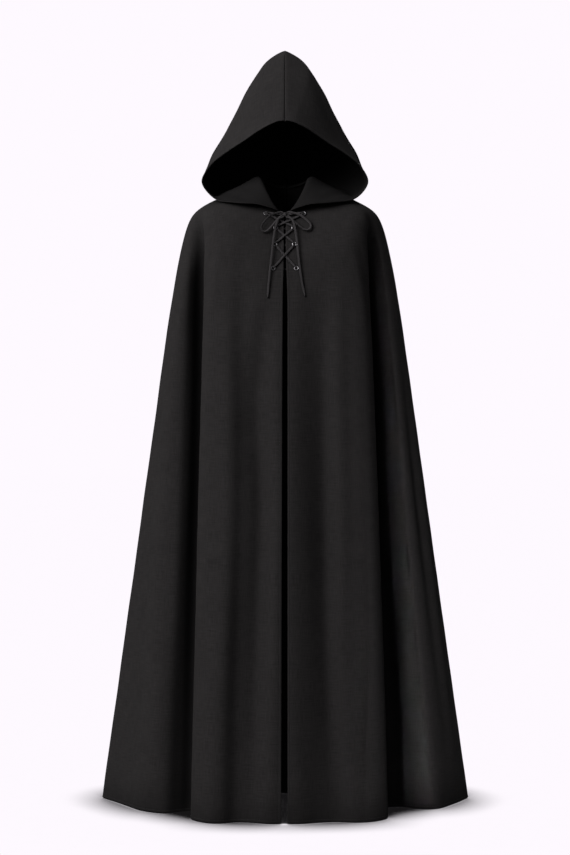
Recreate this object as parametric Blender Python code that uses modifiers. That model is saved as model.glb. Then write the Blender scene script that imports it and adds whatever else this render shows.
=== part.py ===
"""Floor-length hooded wool cloak, hollow and open as it hangs on a wearer, laced at the neck.

Metres, +Z up.  The wearer faces -Y, and the wearer's left is at +X.  The origin is in the middle of the
wearer's neck, where the cloak is held up.  Heights in the tables are measured above the hem.
"""
import math
from collections import namedtuple

import bmesh
import bpy
from mathutils import Matrix, Vector

# ---------------------------------------------------------------- driving dimensions
WALL = 0.0022            # thickness of the fulled wool
SEAM_GAP = 0.0003        # between two pieces at a seam
SEAM_STRIP = 0.0012      # width of the cloth that is pressed flat on each side of a seam
ORIGIN_HEIGHT = 1.52     # of the origin above the hem
CHEST_HEIGHT = 1.28      # from here down every fold falls straight to the hem

EDGE_AT_NECK = 0.0024    # from the middle to each front edge, at the neckline
CORNER_GIRTH = 0.082     # of the neckline in front of the hood's front corners, which the hood leaves free
COLUMNS_PER_FOLD = 2     # of the mesh, between two rows of a fold table
YOKE_ROWS = (0, 0.5, 1, 1.5, 2, 3, 4, 4.5, 5, 5.5, 6, 6.5, 7, 8)    # of the mesh, in rows of the yoke table
FALL_ROWS = 4            # of the mesh, from the chest down to the hem
LEVEL_GIRTH = 0.08       # of a section, level beside its middle before it rises to the shoulder
HEIGHT_POWER = 1.2       # how the height of a section rises from there round to the shoulder
RING_STEPS = 40          # in which a quarter of a section is measured
SEARCH_STEPS = 30        # when a place on the cloth is looked for
SEARCH_STEP = 0.01       # in rows and columns, with which the cloth's slope is measured
SEARCH_EASE = 0.7        # share of the miss that each step makes good
SEARCH_START = (1.0, 3.0)    # column and row

# Level rings of the body from the neckline to the chest.  square is how square their corners are, and fold is
# how much of a fold's chest depth is there.
Section = namedtuple(
    "Section", "half_width front_depth front_height side_height back_depth back_height square fold")
YOKE = (
    Section(0.0610, 0.0865, 1.505, 1.6000, 0.078, 1.590, 2.0, 0.00),    # neckline
    Section(0.0850, 0.0930, 1.492, 1.5890, 0.090, 1.577, 2.1, 0.00),
    Section(0.1300, 0.1040, 1.462, 1.5685, 0.106, 1.540, 2.3, 0.00),
    Section(0.1850, 0.1140, 1.425, 1.5435, 0.117, 1.490, 2.6, 0.02),
    Section(0.2250, 0.1215, 1.392, 1.5240, 0.123, 1.450, 2.8, 0.08),    # shoulder point
    Section(0.2435, 0.1255, 1.370, 1.5060, 0.126, 1.420, 2.9, 0.20),
    Section(0.2575, 0.1300, 1.345, 1.4680, 0.128, 1.385, 2.9, 0.42),
    Section(0.2740, 0.1345, 1.316, 1.4040, 0.130, 1.340, 2.8, 0.72),
    Section(0.2950, 0.1385, 1.280, 1.2800, 0.132, 1.280, 2.8, 1.00),    # chest
)

# Lines down the cloth, from the front edge round to the side seam.  girth is the line's place on the yoke's
# rings, from 0 at the front edge to 1 at the side seam.  The others are plan places at the chest and the hem.
Fold = namedtuple("Fold", "girth chest_x chest_y hem_x hem_y")
LEFT_FOLDS = (
    Fold(0.000, 0.0070, -0.1385, 0.0066, -0.2460),    # front edge
    Fold(0.100, 0.0340, -0.1385, 0.0400, -0.2450),
    Fold(0.210, 0.0700, -0.1345, 0.0860, -0.2320),    # shallow hollow
    Fold(0.320, 0.1080, -0.1350, 0.1290, -0.2270),
    Fold(0.430, 0.1460, -0.1350, 0.1730, -0.2310),    # broad swell
    Fold(0.540, 0.1800, -0.1280, 0.2110, -0.2220),
    Fold(0.640, 0.2030, -0.1140, 0.2400, -0.2020),
    Fold(0.710, 0.2125, -0.0950, 0.2550, -0.1780),    # rolled edge over the pleat
    Fold(0.755, 0.2050, -0.0740, 0.2470, -0.1380),
    Fold(0.790, 0.1990, -0.0580, 0.2370, -0.1000),    # floor of the pleat
    Fold(0.820, 0.2120, -0.0490, 0.2560, -0.0720),
    Fold(0.855, 0.2360, -0.0520, 0.2950, -0.0640),
    Fold(0.890, 0.2560, -0.0530, 0.3360, -0.0800),    # crest over the arm
    Fold(0.925, 0.2710, -0.0440, 0.3850, -0.0780),
    Fold(0.962, 0.2865, -0.0240, 0.4340, -0.0200),
    Fold(1.000, 0.2950, 0.0060, 0.4785, 0.0540),      # side seam
)
RIGHT_FOLDS = (
    Fold(0.000, -0.0055, -0.1385, -0.0090, -0.2460),  # front edge
    Fold(0.100, -0.0340, -0.1385, -0.0420, -0.2460),
    Fold(0.210, -0.0700, -0.1360, -0.0820, -0.2350),
    Fold(0.320, -0.1060, -0.1310, -0.1190, -0.2290),  # shallow hollow
    Fold(0.430, -0.1420, -0.1330, -0.1560, -0.2400),  # broad swell
    Fold(0.540, -0.1740, -0.1280, -0.1900, -0.2350),
    Fold(0.640, -0.1970, -0.1140, -0.2200, -0.2120),
    Fold(0.710, -0.2070, -0.0950, -0.2330, -0.1830),  # rolled edge over the pleat
    Fold(0.755, -0.1990, -0.0750, -0.2250, -0.1550),
    Fold(0.790, -0.1930, -0.0590, -0.2150, -0.1320),  # floor of the pleat
    Fold(0.820, -0.2060, -0.0500, -0.2320, -0.1130),
    Fold(0.855, -0.2310, -0.0540, -0.2660, -0.1210),
    Fold(0.890, -0.2530, -0.0550, -0.3060, -0.1290),  # crest over the arm
    Fold(0.925, -0.2700, -0.0450, -0.3620, -0.0980),
    Fold(0.962, -0.2855, -0.0240, -0.4240, -0.0150),
    Fold(1.000, -0.2945, 0.0060, -0.4760, 0.0540),    # side seam
)
# The same for the back, from the right side seam at girth 0, past the seam in the middle at 0.5, to the left
# side seam at 1.
BACK_FOLDS = (
    Fold(0.000, -0.2945, 0.0060, -0.4760, 0.0540),    # right side seam
    Fold(0.045, -0.2890, 0.0340, -0.4620, 0.1020),
    Fold(0.110, -0.2690, 0.0650, -0.4170, 0.1440),
    Fold(0.180, -0.2340, 0.0870, -0.3560, 0.1620),    # hollow
    Fold(0.250, -0.1950, 0.1080, -0.2960, 0.2020),    # flute
    Fold(0.310, -0.1560, 0.1140, -0.2380, 0.1960),    # hollow
    Fold(0.370, -0.1120, 0.1280, -0.1680, 0.2240),    # flute
    Fold(0.430, -0.0680, 0.1280, -0.1000, 0.2100),
    Fold(0.475, -0.0290, 0.1160, -0.0420, 0.1400),
    Fold(0.500, 0.0000, 0.1120, 0.0000, 0.1060),      # seam, in a hollow
    Fold(0.525, 0.0270, 0.1160, 0.0400, 0.1400),
    Fold(0.575, 0.0680, 0.1280, 0.1020, 0.2140),      # flute
    Fold(0.640, 0.1120, 0.1250, 0.1600, 0.2180),
    Fold(0.700, 0.1500, 0.1150, 0.2120, 0.1900),      # hollow
    Fold(0.760, 0.1880, 0.1060, 0.2740, 0.2020),      # flute
    Fold(0.830, 0.2280, 0.0860, 0.3400, 0.1760),
    Fold(0.895, 0.2590, 0.0620, 0.3960, 0.1500),
    Fold(0.955, 0.2850, 0.0340, 0.4560, 0.1020),
    Fold(1.000, 0.2950, 0.0060, 0.4785, 0.0540),      # left side seam
)
BACK_MIDDLE = 9          # row of the table at the seam in the middle

# Ribs of the hood's left half, each from the face rim past the side to the middle of the back.
Rib = namedtuple("Rib", "rim_x rim_y rim_height side_x side_y side_height back_y back_height")
HOOD_RIBS = (
    Rib(0.0118, -0.0868, 1.5055, 0.0612, 0.000, 1.6006, 0.0782, 1.5906),  # neck seam
    Rib(0.0220, -0.0985, 1.5105, 0.0720, 0.000, 1.6050, 0.0880, 1.5960),
    Rib(0.0655, -0.1050, 1.5225, 0.1080, 0.000, 1.5860, 0.1050, 1.5930),  # lower leaf, on the shoulder
    Rib(0.1150, -0.0960, 1.5280, 0.1480, 0.004, 1.5680, 0.1200, 1.5950),
    Rib(0.1750, -0.0600, 1.5400, 0.1800, 0.010, 1.5600, 0.1340, 1.6060),
    Rib(0.2125, -0.0450, 1.5860, 0.2100, 0.012, 1.5960, 0.1440, 1.6280),  # outer roll
    Rib(0.1900, -0.0600, 1.6270, 0.1920, 0.012, 1.6500, 0.1500, 1.6680),
    Rib(0.1525, -0.0880, 1.6540, 0.1650, 0.010, 1.7020, 0.1530, 1.7240),
    Rib(0.1080, -0.1130, 1.6770, 0.1330, 0.000, 1.7600, 0.1480, 1.7880),
    Rib(0.0600, -0.1360, 1.7060, 0.1010, -0.008, 1.8180, 0.1270, 1.8580),
    Rib(0.0290, -0.1470, 1.7200, 0.0715, -0.018, 1.8600, 0.0740, 1.9225),
    Rib(0.0150, -0.1490, 1.7245, 0.0520, -0.030, 1.8680, 0.0460, 1.9360),
    Rib(0.0000, -0.1500, 1.7260, 0.0000, -0.045, 1.8760, 0.0200, 1.9380),  # centre seam, over the head
)
HOOD_ROWS = (0, 0.5, 1, 2, 3, 4, 4.5, 5, 5.5, 6, 7, 8, 9, 9.5, 10, 11, 12)    # of the mesh, in rows of ribs
HOOD_COLUMNS = 16        # of the mesh, from the rim to the middle of the back
STAND_ROWS = 2.0         # ribs that are drawn to the neckline
LEAF_ROWS = 4.5          # ribs of the lower leaf, which rests on the shoulders
LEAF_REST = 0.0045       # of the lower leaf above the body's cloth, measured upwards
NECK_REST = 0.0007       # the same at the neck seam
CORNER_REST = 0.0008     # more of it at the hood's front corners
CORNER_SHARE = 0.06      # of a rib, over which that fades
SEAM_OVERRUN = 0.004     # how far a hood half runs past the middle before it is trimmed there
TRIM_SIZE = 1.0

# Eyelets: places on each front, from the lowest up, as distance from the middle and height above the hem.
Place = namedtuple("Place", "out height")
EYELETS = (
    Place(0.0288, 1.3600),
    Place(0.0243, 1.4215),
    Place(0.0228, 1.4640),
    Place(0.0475, 1.5010),
)
EYELET_BORE = 0.0035     # radius that the lace passes through
EYELET_BARREL = 0.0041   # outer radius of the barrel in the cloth's hole
EYELET_FLANGE = 0.0059
FLANGE_THICKNESS = 0.0009
FLANGE_BEVEL = 0.0008
EYELET_CLEARANCE = 0.0006    # from the flanges and the barrel to the cloth
EYELET_STEPS = 16
HOLE_DEPTH = 0.0132      # of the tool that cuts a hole

LACE_WIDTH = 0.0052
LACE_THICKNESS = 0.0017
LACE_BUNCHED = 0.0013    # radius of the lace where it is drawn through an eyelet
EXIT_HALF_WIDTH = 0.0014     # of the lace where it comes out of the knot
LACE_SIDES = 6
PASS_OFFSET = 0.00148    # of each of the two passes through an eyelet, above or below its middle
PASS_LIFTS = (-0.0030, -0.0002, 0.0026)   # of the lace's middle on its way through, above the cloth
SLIT_REACH = 0.012       # within this distance from the middle, the lace spans the slit
LACE_LIFT = 0.0028       # of the lace's middle above the cloth
MOUTH_LIFT = 0.0036      # beside an eyelet's mouth, clear of its flange
OVER_LIFT = 0.0042       # where a strand passes over the other one, in the middle
UNDER_LIFT = 0.0017
NEAR_DEPTH = -0.0056     # of the two strands where they cross inside the cloak
FAR_DEPTH = -0.0082
DEPTH_RISE = 0.0006      # of a strand at an eyelet's inner mouth
MOUTH_REACH = 0.0040     # from an eyelet's middle to where the lace is still bunched
FLAT_REACH = 0.0110      # and to where it lies flat
SPAN_REACH = 0.0143      # and to the nearest place where it may start to span the slit
INNER_BUNCHED = 0.10     # the same for its stretches inside, as shares of a stretch
INNER_FLAT = 0.30
FIRST_FLAT = 0.60        # and for its first stretch, from the middle to the lowest eyelet
FIRST_BUNCHED = 0.88
TO_KNOT_SHARE = 0.55     # of the last stretch, where it has risen to TO_KNOT_LIFT
TO_KNOT_LIFT = 0.0040
TO_KNOT_REACH = 0.0060   # from the knot to where it starts to narrow
KNOT_SIZE = (0.0062, 0.0056, 0.0042)      # half width, half height and half depth
KNOT_PLACE = Place(0.0, 1.4955)
KNOT_LIFT = 0.0062
KNOT_GAP = 0.0004        # from the knot to the lace that comes out of it
KNOT_SEGMENTS = 12
KNOT_RINGS = 8
LOOP_TILT = math.radians(35)     # of the loops' flat sides
LEAVE_REACH = 0.0035     # from the knot to the first stop of a loop or an end
RETURN_REACH = 0.0045    # and from the last stop of a loop to the knot
WIDEN_STATIONS = 4       # over which the lace widens as it leaves the knot
STATIONS_PER_STOP = 2
SLOPE_STEP = 0.25        # in stops, with which the route's direction is measured

# The free ends and the loops of the bow, from the knot: distance from the middle, height above the hem and the
# lift of the lace's middle above the cloth.
Stop = namedtuple("Stop", "out height lift")
# Where a lace leaves the knot: angle from straight out, up positive, and lift.
Exit = namedtuple("Exit", "angle lift")
STRAND_EXIT = Exit(math.radians(8), 0.0052)
LOOP_EXIT = Exit(math.radians(35), 0.0076)
LOOP_RETURN = Exit(math.radians(-24), 0.0066)
END_EXIT = Exit(math.radians(-58), 0.0088)
RIGHT_END = (
    Stop(0.0152, 1.4850, 0.0100), Stop(0.0205, 1.4760, 0.0098), Stop(0.0250, 1.4600, 0.0084),
    Stop(0.0295, 1.4280, 0.0070), Stop(0.0325, 1.3980, 0.0062), Stop(0.0365, 1.3620, 0.0052),
    Stop(0.0400, 1.3250, 0.0032), Stop(0.0428, 1.2860, 0.0020),
)
LEFT_END = (
    Stop(0.0160, 1.4845, 0.0100), Stop(0.0225, 1.4750, 0.0098), Stop(0.0272, 1.4550, 0.0084),
    Stop(0.0310, 1.4250, 0.0070), Stop(0.0340, 1.3930, 0.0062), Stop(0.0375, 1.3600, 0.0052),
    Stop(0.0430, 1.3220, 0.0032), Stop(0.0502, 1.2890, 0.0020),
)
RIGHT_LOOP = (
    Stop(0.0220, 1.4985, 0.0084), Stop(0.0360, 1.4920, 0.0080), Stop(0.0490, 1.4800, 0.0070),
    Stop(0.0578, 1.4665, 0.0056), Stop(0.0572, 1.4550, 0.0048), Stop(0.0485, 1.4530, 0.0052),
    Stop(0.0380, 1.4610, 0.0062), Stop(0.0270, 1.4740, 0.0068), Stop(0.0180, 1.4845, 0.0068),
)
LEFT_LOOP = (
    Stop(0.0220, 1.4990, 0.0084), Stop(0.0370, 1.4945, 0.0080), Stop(0.0510, 1.4845, 0.0070),
    Stop(0.0630, 1.4735, 0.0056), Stop(0.0650, 1.4635, 0.0048), Stop(0.0580, 1.4570, 0.0050),
    Stop(0.0470, 1.4590, 0.0058), Stop(0.0340, 1.4690, 0.0068), Stop(0.0205, 1.4825, 0.0068),
)

FABRIC = (0.012, 0.012, 0.013)
FABRIC_ROUGHNESS = 0.9
METAL = (0.10, 0.10, 0.11)
METAL_ROUGHNESS = 0.35
CORD = (0.015, 0.015, 0.016)
CORD_ROUGHNESS = 0.8


# ---------------------------------------------------------------- curves and sections
def spline(rows, at):
    """The values at a fractional row of a table, on a smooth curve through its rows."""
    at = min(max(at, 0.0), len(rows) - 1.0)
    first = min(int(at), len(rows) - 2)
    t = at - first
    result = []
    for i in range(len(rows[0])):
        b = rows[first][i]
        c = rows[first + 1][i]
        a = rows[first - 1][i] if first > 0 else 2 * b - c
        d = rows[first + 2][i] if first + 2 < len(rows) else 2 * c - b
        result.append(b + 0.5 * t * (c - a + t * (2 * a - 5 * b + 4 * c - d + t * (3 * (b - c) + d - a))))
    return type(rows[0])(*result)


def ring_table(width, depth, square):
    """Points of a rounded quarter ring from the depth axis to the width axis, and the length up to each."""
    points = []
    lengths = [0.0]
    for i in range(RING_STEPS + 1):
        angle = 0.5 * math.pi * i / RING_STEPS
        x = width * math.sin(angle) ** (2 / square)
        y = depth * max(math.cos(angle), 0.0) ** (2 / square)
        if points:
            lengths.append(lengths[-1] + math.dist(points[-1], (x, y)))
        points.append((x, y))
    return points, lengths


def quarter_ring(width, depth, square, share):
    """A point of a rounded quarter ring at a share of its length."""
    points, lengths = ring_table(width, depth, square)
    wanted = share * lengths[-1]
    for i in range(RING_STEPS):
        if wanted <= lengths[i + 1]:
            break
    t = (wanted - lengths[i]) / (lengths[i + 1] - lengths[i])
    return tuple(a + (b - a) * t for a, b in zip(points[i], points[i + 1]))


def rise_share(girth):
    """How far a section has risen towards the shoulder, at a girth from its front or back middle."""
    share = max(girth - LEVEL_GIRTH, 0.0) / (1 - LEVEL_GIRTH)
    return math.sin(0.5 * math.pi * share) ** HEIGHT_POWER


def yoke_height(x, y):
    """Height above the hem of the cloth on the shoulders, over a plan place."""
    inner = EDGE_AT_NECK if y < 0 else 0.0
    out = max(abs(x) - inner, 0.0)
    low = 0.0
    high = len(YOKE) - 1.0
    for _ in range(SEARCH_STEPS):
        row = (low + high) / 2
        section = spline(YOKE, row)
        depth = section.front_depth if y < 0 else section.back_depth
        reach = (out / (section.half_width - inner)) ** section.square + (abs(y) / depth) ** section.square
        if reach > 1:
            low = row
        else:
            high = row
    lengths = ring_table(section.half_width - inner, depth, section.square)[1]
    power = section.square / 2
    angle = math.atan2((out / (section.half_width - inner)) ** power, (abs(y) / depth) ** power)
    place = angle / (0.5 * math.pi) * RING_STEPS
    first = min(int(place), RING_STEPS - 1)
    length = lengths[first] + (lengths[first + 1] - lengths[first]) * (place - first)
    middle_height = section.front_height if y < 0 else section.back_height
    return middle_height + (section.side_height - middle_height) * rise_share(length / lengths[-1])


def front_ring(section, girth, side):
    """Plan place and height of a point of a front on a yoke section.

    side is 1 for the left front and -1 for the right one.
    """
    x, y = quarter_ring(section.half_width - EDGE_AT_NECK, section.front_depth, section.square, girth)
    height = section.front_height + (section.side_height - section.front_height) * rise_share(girth)
    return Vector((side * (EDGE_AT_NECK + x), -y, height))


def back_ring(section, girth):
    """The same on the back, with girth from the right side seam to the left one."""
    side = 1 if girth > 0.5 else -1
    share = abs(1 - 2 * girth)
    x, y = quarter_ring(section.half_width, section.back_depth, section.square, share)
    height = section.back_height + (section.side_height - section.back_height) * rise_share(share)
    return Vector((side * x, y, height))


def fall_point(fold, row, ring):
    """A point of the cloth on a fold line: over the yoke up to its last row, then straight to the hem."""
    chest_row = len(YOKE) - 1
    section = spline(YOKE, min(row, chest_row))
    point = ring(section, min(max(fold.girth, 0.0), 1.0))
    chest = Vector((fold.chest_x, fold.chest_y, CHEST_HEIGHT))
    point += (chest - ring(YOKE[-1], min(max(fold.girth, 0.0), 1.0))) * section.fold
    if row > chest_row:
        hem = Vector((fold.hem_x, fold.hem_y, 0.0))
        point = chest.lerp(hem, (row - chest_row) / FALL_ROWS)
    return point - Vector((0, 0, ORIGIN_HEIGHT))


def front_point(side, column, row):
    """A point of a front's outer face."""
    folds = LEFT_FOLDS if side > 0 else RIGHT_FOLDS
    return fall_point(spline(folds, column), row, lambda section, girth: front_ring(section, girth, side))


def back_point(column, row):
    """A point of the back's outer face."""
    return fall_point(spline(BACK_FOLDS, column), row, back_ring)


def front_place(side, out, height):
    """The point and outward normal of a front at a distance from the middle and a height above the hem."""
    column, row = SEARCH_START
    for _ in range(SEARCH_STEPS):
        here = front_point(side, column, row)
        across = (front_point(side, column + SEARCH_STEP, row) - here) / SEARCH_STEP
        down = (front_point(side, column, row + SEARCH_STEP) - here) / SEARCH_STEP
        miss_x = side * out - here.x
        miss_z = height - ORIGIN_HEIGHT - here.z
        spread = across.x * down.z - across.z * down.x
        column += SEARCH_EASE * (miss_x * down.z - miss_z * down.x) / spread
        row += SEARCH_EASE * (across.x * miss_z - across.z * miss_x) / spread
        column = max(column, 0.0)
        row = max(row, 0.0)
    normal = across.cross(down).normalized()
    if normal.y > 0:
        normal.negate()
    return here, normal


def neck_seam(share):
    """A point of the body's left neckline, from the hood's corner at share 0 to the back's middle at 1."""
    if share < 0.5:
        return front_ring(YOKE[0], CORNER_GIRTH + 2 * share * (1 - CORNER_GIRTH), 1)
    return back_ring(YOKE[0], 1.5 - share)


def rib_point(row, share):
    """A point of a rib on the hood's left half, from the face rim at share 0 to the back's middle at 1."""
    rib = spline(HOOD_RIBS, row)
    rim = Vector((rib.rim_x, rib.rim_y, rib.rim_height))
    side = Vector((rib.side_x, rib.side_y, rib.side_height))
    back = Vector((0.0, rib.back_y, rib.back_height))
    if share >= 0.5:
        angle = math.pi * (share - 0.5)
        point = Vector((side.x * math.cos(angle), side.y + (back.y - side.y) * math.sin(angle), 0.0))
        point.z = side.z + (back.z - side.z) * math.sin(angle)
    else:
        t = 2 * share
        reach = (side - rim).length
        along = back - side
        along.x = 0.0
        along.normalize()
        first = rim + (side - rim) / 3
        last = side - along * reach / 3
        point = (1 - t) ** 3 * rim + 3 * t * (1 - t) ** 2 * first + 3 * t * t * (1 - t) * last + t ** 3 * side
    return point


def hood_point(row, share):
    """A point of the hood's left half, sewn to the neckline and resting on the shoulders."""
    point = rib_point(row, share)
    if row < STAND_ROWS:
        point += (neck_seam(share) - rib_point(0, share)) * (1 - row / STAND_ROWS)
    if row <= LEAF_ROWS:
        rest = NECK_REST + (LEAF_REST - NECK_REST) * min(row, 1.0)
        rest += CORNER_REST * max(1 - share / CORNER_SHARE, 0.0)
        point.z = max(point.z, yoke_height(point.x, point.y) + rest)
    return point - Vector((0, 0, ORIGIN_HEIGHT))


# ---------------------------------------------------------------- building
def new_collection(name):
    """A collection linked to the scene."""
    collection = bpy.data.collections.new(name)
    bpy.context.scene.collection.children.link(collection)
    return collection


def new_material(name, colour, roughness, metallic=0.0):
    """A Principled material."""
    material = bpy.data.materials.new(name)
    material.use_nodes = True
    shader = material.node_tree.nodes["Principled BSDF"]
    shader.inputs["Base Color"].default_value = (*colour, 1.0)
    shader.inputs["Roughness"].default_value = roughness
    shader.inputs["Metallic"].default_value = metallic
    return material


def add_object(name, mesh, collection, material=None):
    """An object for a mesh, shaded smooth."""
    mesh.shade_smooth()
    if material:
        mesh.materials.append(material)
    thing = bpy.data.objects.new(name, mesh)
    collection.objects.link(thing)
    return thing


def grid_mesh(name, rows, closed=False):
    """A mesh through rows of points, with end caps where the rows are closed rings."""
    width = len(rows[0])
    points = [tuple(point) for row in rows for point in row]
    faces = []
    for i in range(len(rows) - 1):
        for j in range(width if closed else width - 1):
            k = (j + 1) % width
            faces.append((i * width + j, i * width + k, (i + 1) * width + k, (i + 1) * width + j))
    if closed:
        faces.append(tuple(reversed(range(width))))
        faces.append(tuple(range(len(points) - width, len(points))))
    mesh = bpy.data.meshes.new(name)
    mesh.from_pydata(points, [], faces)
    mesh.update()
    return mesh


def cloth(name, rows, outward, collection, material):
    """A cloth wall whose outer face runs through rows of points; outward points out at the first corner."""
    mesh = grid_mesh(name, rows)
    if mesh.polygons[0].normal.dot(outward) < 0:
        mesh.flip_normals()
    thing = add_object(name, mesh, collection, material)
    wall = thing.modifiers.new("wall", "SOLIDIFY")
    wall.thickness = WALL
    wall.offset = -1.0
    wall.use_rim = True
    return thing


def side_directions(side):
    """Unit vectors across a side seam from the front to the back, one for each mesh row."""
    column = 1 / COLUMNS_PER_FOLD
    before = len(LEFT_FOLDS) - 1 - column
    after = len(BACK_FOLDS) - 1 - column if side > 0 else column
    return [(back_point(after, row) - front_point(side, before, row)).normalized() for row in row_places()]


def middle_directions():
    """Unit vectors across the seam in the middle of the back from right to left, one for each mesh row."""
    right = BACK_MIDDLE - 1 / COLUMNS_PER_FOLD
    left = BACK_MIDDLE + 1 / COLUMNS_PER_FOLD
    return [(back_point(left, row) - back_point(right, row)).normalized() for row in row_places()]


def turned(directions):
    """The same directions the other way."""
    return [-direction for direction in directions]


def press_seam(rows, last, directions):
    """End the rows in a narrow strip laid along the seam's directions, half a gap short of the seam."""
    for row, direction in zip(rows, directions):
        place = len(row) - 1 if last else 0
        seam = row[place]
        row[place] = seam + direction * (SEAM_GAP / 2)
        row.insert(place if last else 1, seam + direction * (SEAM_GAP / 2 + SEAM_STRIP))


def cut(thing, cutter):
    """Take a cutter's volume away from an object."""
    modifier = thing.modifiers.new("cut", "BOOLEAN")
    modifier.operation = "DIFFERENCE"
    modifier.solver = "EXACT"
    modifier.object = cutter


def add_cutter(name, mesh, collection):
    """A tool shape that is left out of the part."""
    thing = bpy.data.objects.new(name, mesh)
    thing.display_type = "WIRE"
    thing.hide_render = True
    collection.objects.link(thing)
    return thing


def row_places():
    """The places of the mesh rows, in rows of the yoke table and then of the fall."""
    return list(YOKE_ROWS) + [len(YOKE) - 1 + i for i in range(1, FALL_ROWS + 1)]


def body_rows(first, last, point):
    """Rows of points of a body panel between two rows of its fold table, from the neckline to the hem."""
    columns = [i / COLUMNS_PER_FOLD for i in range(first * COLUMNS_PER_FOLD, last * COLUMNS_PER_FOLD + 1)]
    return [[point(column, row) for column in columns] for row in row_places()]


def build_front(side, collection, cutters, material):
    """One front, with its four eyelet holes."""
    word = "left" if side > 0 else "right"
    rows = body_rows(0, len(LEFT_FOLDS) - 1, lambda column, row: front_point(side, column, row))
    press_seam(rows, True, turned(side_directions(side)))
    panel = cloth(f"front_{word}", rows, Vector((0, -1, 0)), collection, material)
    holes = bmesh.new()
    for place in EYELETS:
        centre, normal = front_place(side, place.out, place.height)
        turn = normal.to_track_quat("Z", "Y").to_matrix().to_4x4()
        bmesh.ops.create_cone(
            holes, cap_ends=True, segments=EYELET_STEPS, radius1=EYELET_BARREL + EYELET_CLEARANCE,
            radius2=EYELET_BARREL + EYELET_CLEARANCE, depth=HOLE_DEPTH,
            matrix=Matrix.Translation(centre) @ turn)
    mesh = bpy.data.meshes.new(f"holes_{word}")
    holes.to_mesh(mesh)
    holes.free()
    cut(panel, add_cutter(f"holes_{word}", mesh, cutters))


def build_back(side, collection, material):
    """One half of the back, from its side seam to the middle and from the neckline to the hem."""
    if side > 0:
        rows = body_rows(BACK_MIDDLE, len(BACK_FOLDS) - 1, back_point)
        press_seam(rows, False, middle_directions())
        press_seam(rows, True, side_directions(side))
    else:
        rows = body_rows(0, BACK_MIDDLE, back_point)
        press_seam(rows, False, side_directions(side))
        press_seam(rows, True, turned(middle_directions()))
    cloth("back_left" if side > 0 else "back_right", rows, Vector((0, 0, 1)), collection, material)


def build_hood(collection, cutters, material):
    """The hood's two halves, trimmed along the centre seam."""
    middle = bmesh.new()
    bmesh.ops.create_cube(middle, size=TRIM_SIZE)
    mesh = bpy.data.meshes.new("hood_middle")
    middle.to_mesh(mesh)
    middle.free()
    for side, word in ((1, "left"), (-1, "right")):
        rows = []
        for row in HOOD_ROWS:
            points = [hood_point(row, i / HOOD_COLUMNS) for i in range(HOOD_COLUMNS + 1)]
            points[-1].x = -SEAM_OVERRUN
            if row == HOOD_ROWS[-1]:
                for point in points:
                    point.x = -SEAM_OVERRUN
            rows.append([Vector((side * point.x, point.y, point.z)) for point in points])
        half = cloth(f"hood_{word}", rows, Vector((0, 0, -1)), collection, material)
        trim = add_cutter(f"trim_{word}", mesh.copy(), cutters)
        trim.location = (side * (SEAM_GAP - TRIM_SIZE) / 2, 0, 0)
        cut(half, trim)


def build_eyelet(name, centre, normal, collection, material):
    """A metal eyelet: its barrel stands in the cloth's hole and its flanges hold the cloth between them."""
    front = EYELET_CLEARANCE
    behind = -WALL - EYELET_CLEARANCE
    profile = (
        (EYELET_BORE, front + FLANGE_THICKNESS),
        (EYELET_BORE, behind - FLANGE_THICKNESS),
        (EYELET_FLANGE, behind - FLANGE_THICKNESS),
        (EYELET_FLANGE, behind),
        (EYELET_BARREL, behind),
        (EYELET_BARREL, front),
        (EYELET_FLANGE, front),
        (EYELET_FLANGE - FLANGE_BEVEL, front + FLANGE_THICKNESS),
    )
    rings = []
    turn = normal.to_track_quat("Z", "Y")
    for i in range(EYELET_STEPS):
        angle = 2 * math.pi * i / EYELET_STEPS
        ring = []
        for radius, depth in profile:
            ring.append(centre + turn @ Vector((radius * math.cos(angle), radius * math.sin(angle), depth)))
        rings.append(ring)
    width = len(profile)
    points = [tuple(point) for ring in rings for point in ring]
    faces = []
    for i in range(EYELET_STEPS):
        k = (i + 1) % EYELET_STEPS
        for j in range(width):
            m = (j + 1) % width
            faces.append((i * width + j, k * width + j, k * width + m, i * width + m))
    mesh = bpy.data.meshes.new(name)
    mesh.from_pydata(points, [], faces)
    mesh.update()
    return add_object(name, mesh, collection, material)


def over_front(out, height, lift):
    """A point at a lift above the fronts, and the outward normal there; it spans the slit between them."""
    if abs(out) >= SLIT_REACH:
        point, normal = front_place(math.copysign(1, out), abs(out), height)
        return point + normal * lift, normal
    right, right_normal = over_front(-SLIT_REACH, height, lift)
    left, left_normal = over_front(SLIT_REACH, height, lift)
    share = (out + SLIT_REACH) / (2 * SLIT_REACH)
    return right.lerp(left, share), right_normal.lerp(left_normal, share).normalized()


def lace_mesh(name, stations):
    """A flat lace lofted through stations.

    Each is a middle, the direction that the flat side faces, a half width and a half thickness.
    """
    rings = []
    for i, (middle, facing, half_width, half_thickness) in enumerate(stations):
        ahead = stations[min(i + 1, len(stations) - 1)][0]
        behind = stations[max(i - 1, 0)][0]
        along = (ahead - behind).normalized()
        flat = (facing - along * facing.dot(along)).normalized()
        across = along.cross(flat)
        ring = []
        for j in range(LACE_SIDES):
            angle = 2 * math.pi * j / LACE_SIDES
            sideways = across * half_width * math.cos(angle)
            ring.append(middle - sideways + flat * half_thickness * math.sin(angle))
        rings.append(ring)
    return grid_mesh(name, rings, closed=True)


def knot_stop(leave, beyond):
    """A stop at a distance beyond the place where a lace leaves the knot."""
    x = KNOT_SIZE[0] * math.cos(leave.angle)
    z = KNOT_SIZE[1] * math.sin(leave.angle)
    lean = Vector((x / KNOT_SIZE[0] ** 2, z / KNOT_SIZE[1] ** 2)).normalized() * (KNOT_GAP + beyond)
    return Stop(x + lean.x, KNOT_PLACE.height + z + lean.y, leave.lift)


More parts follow.
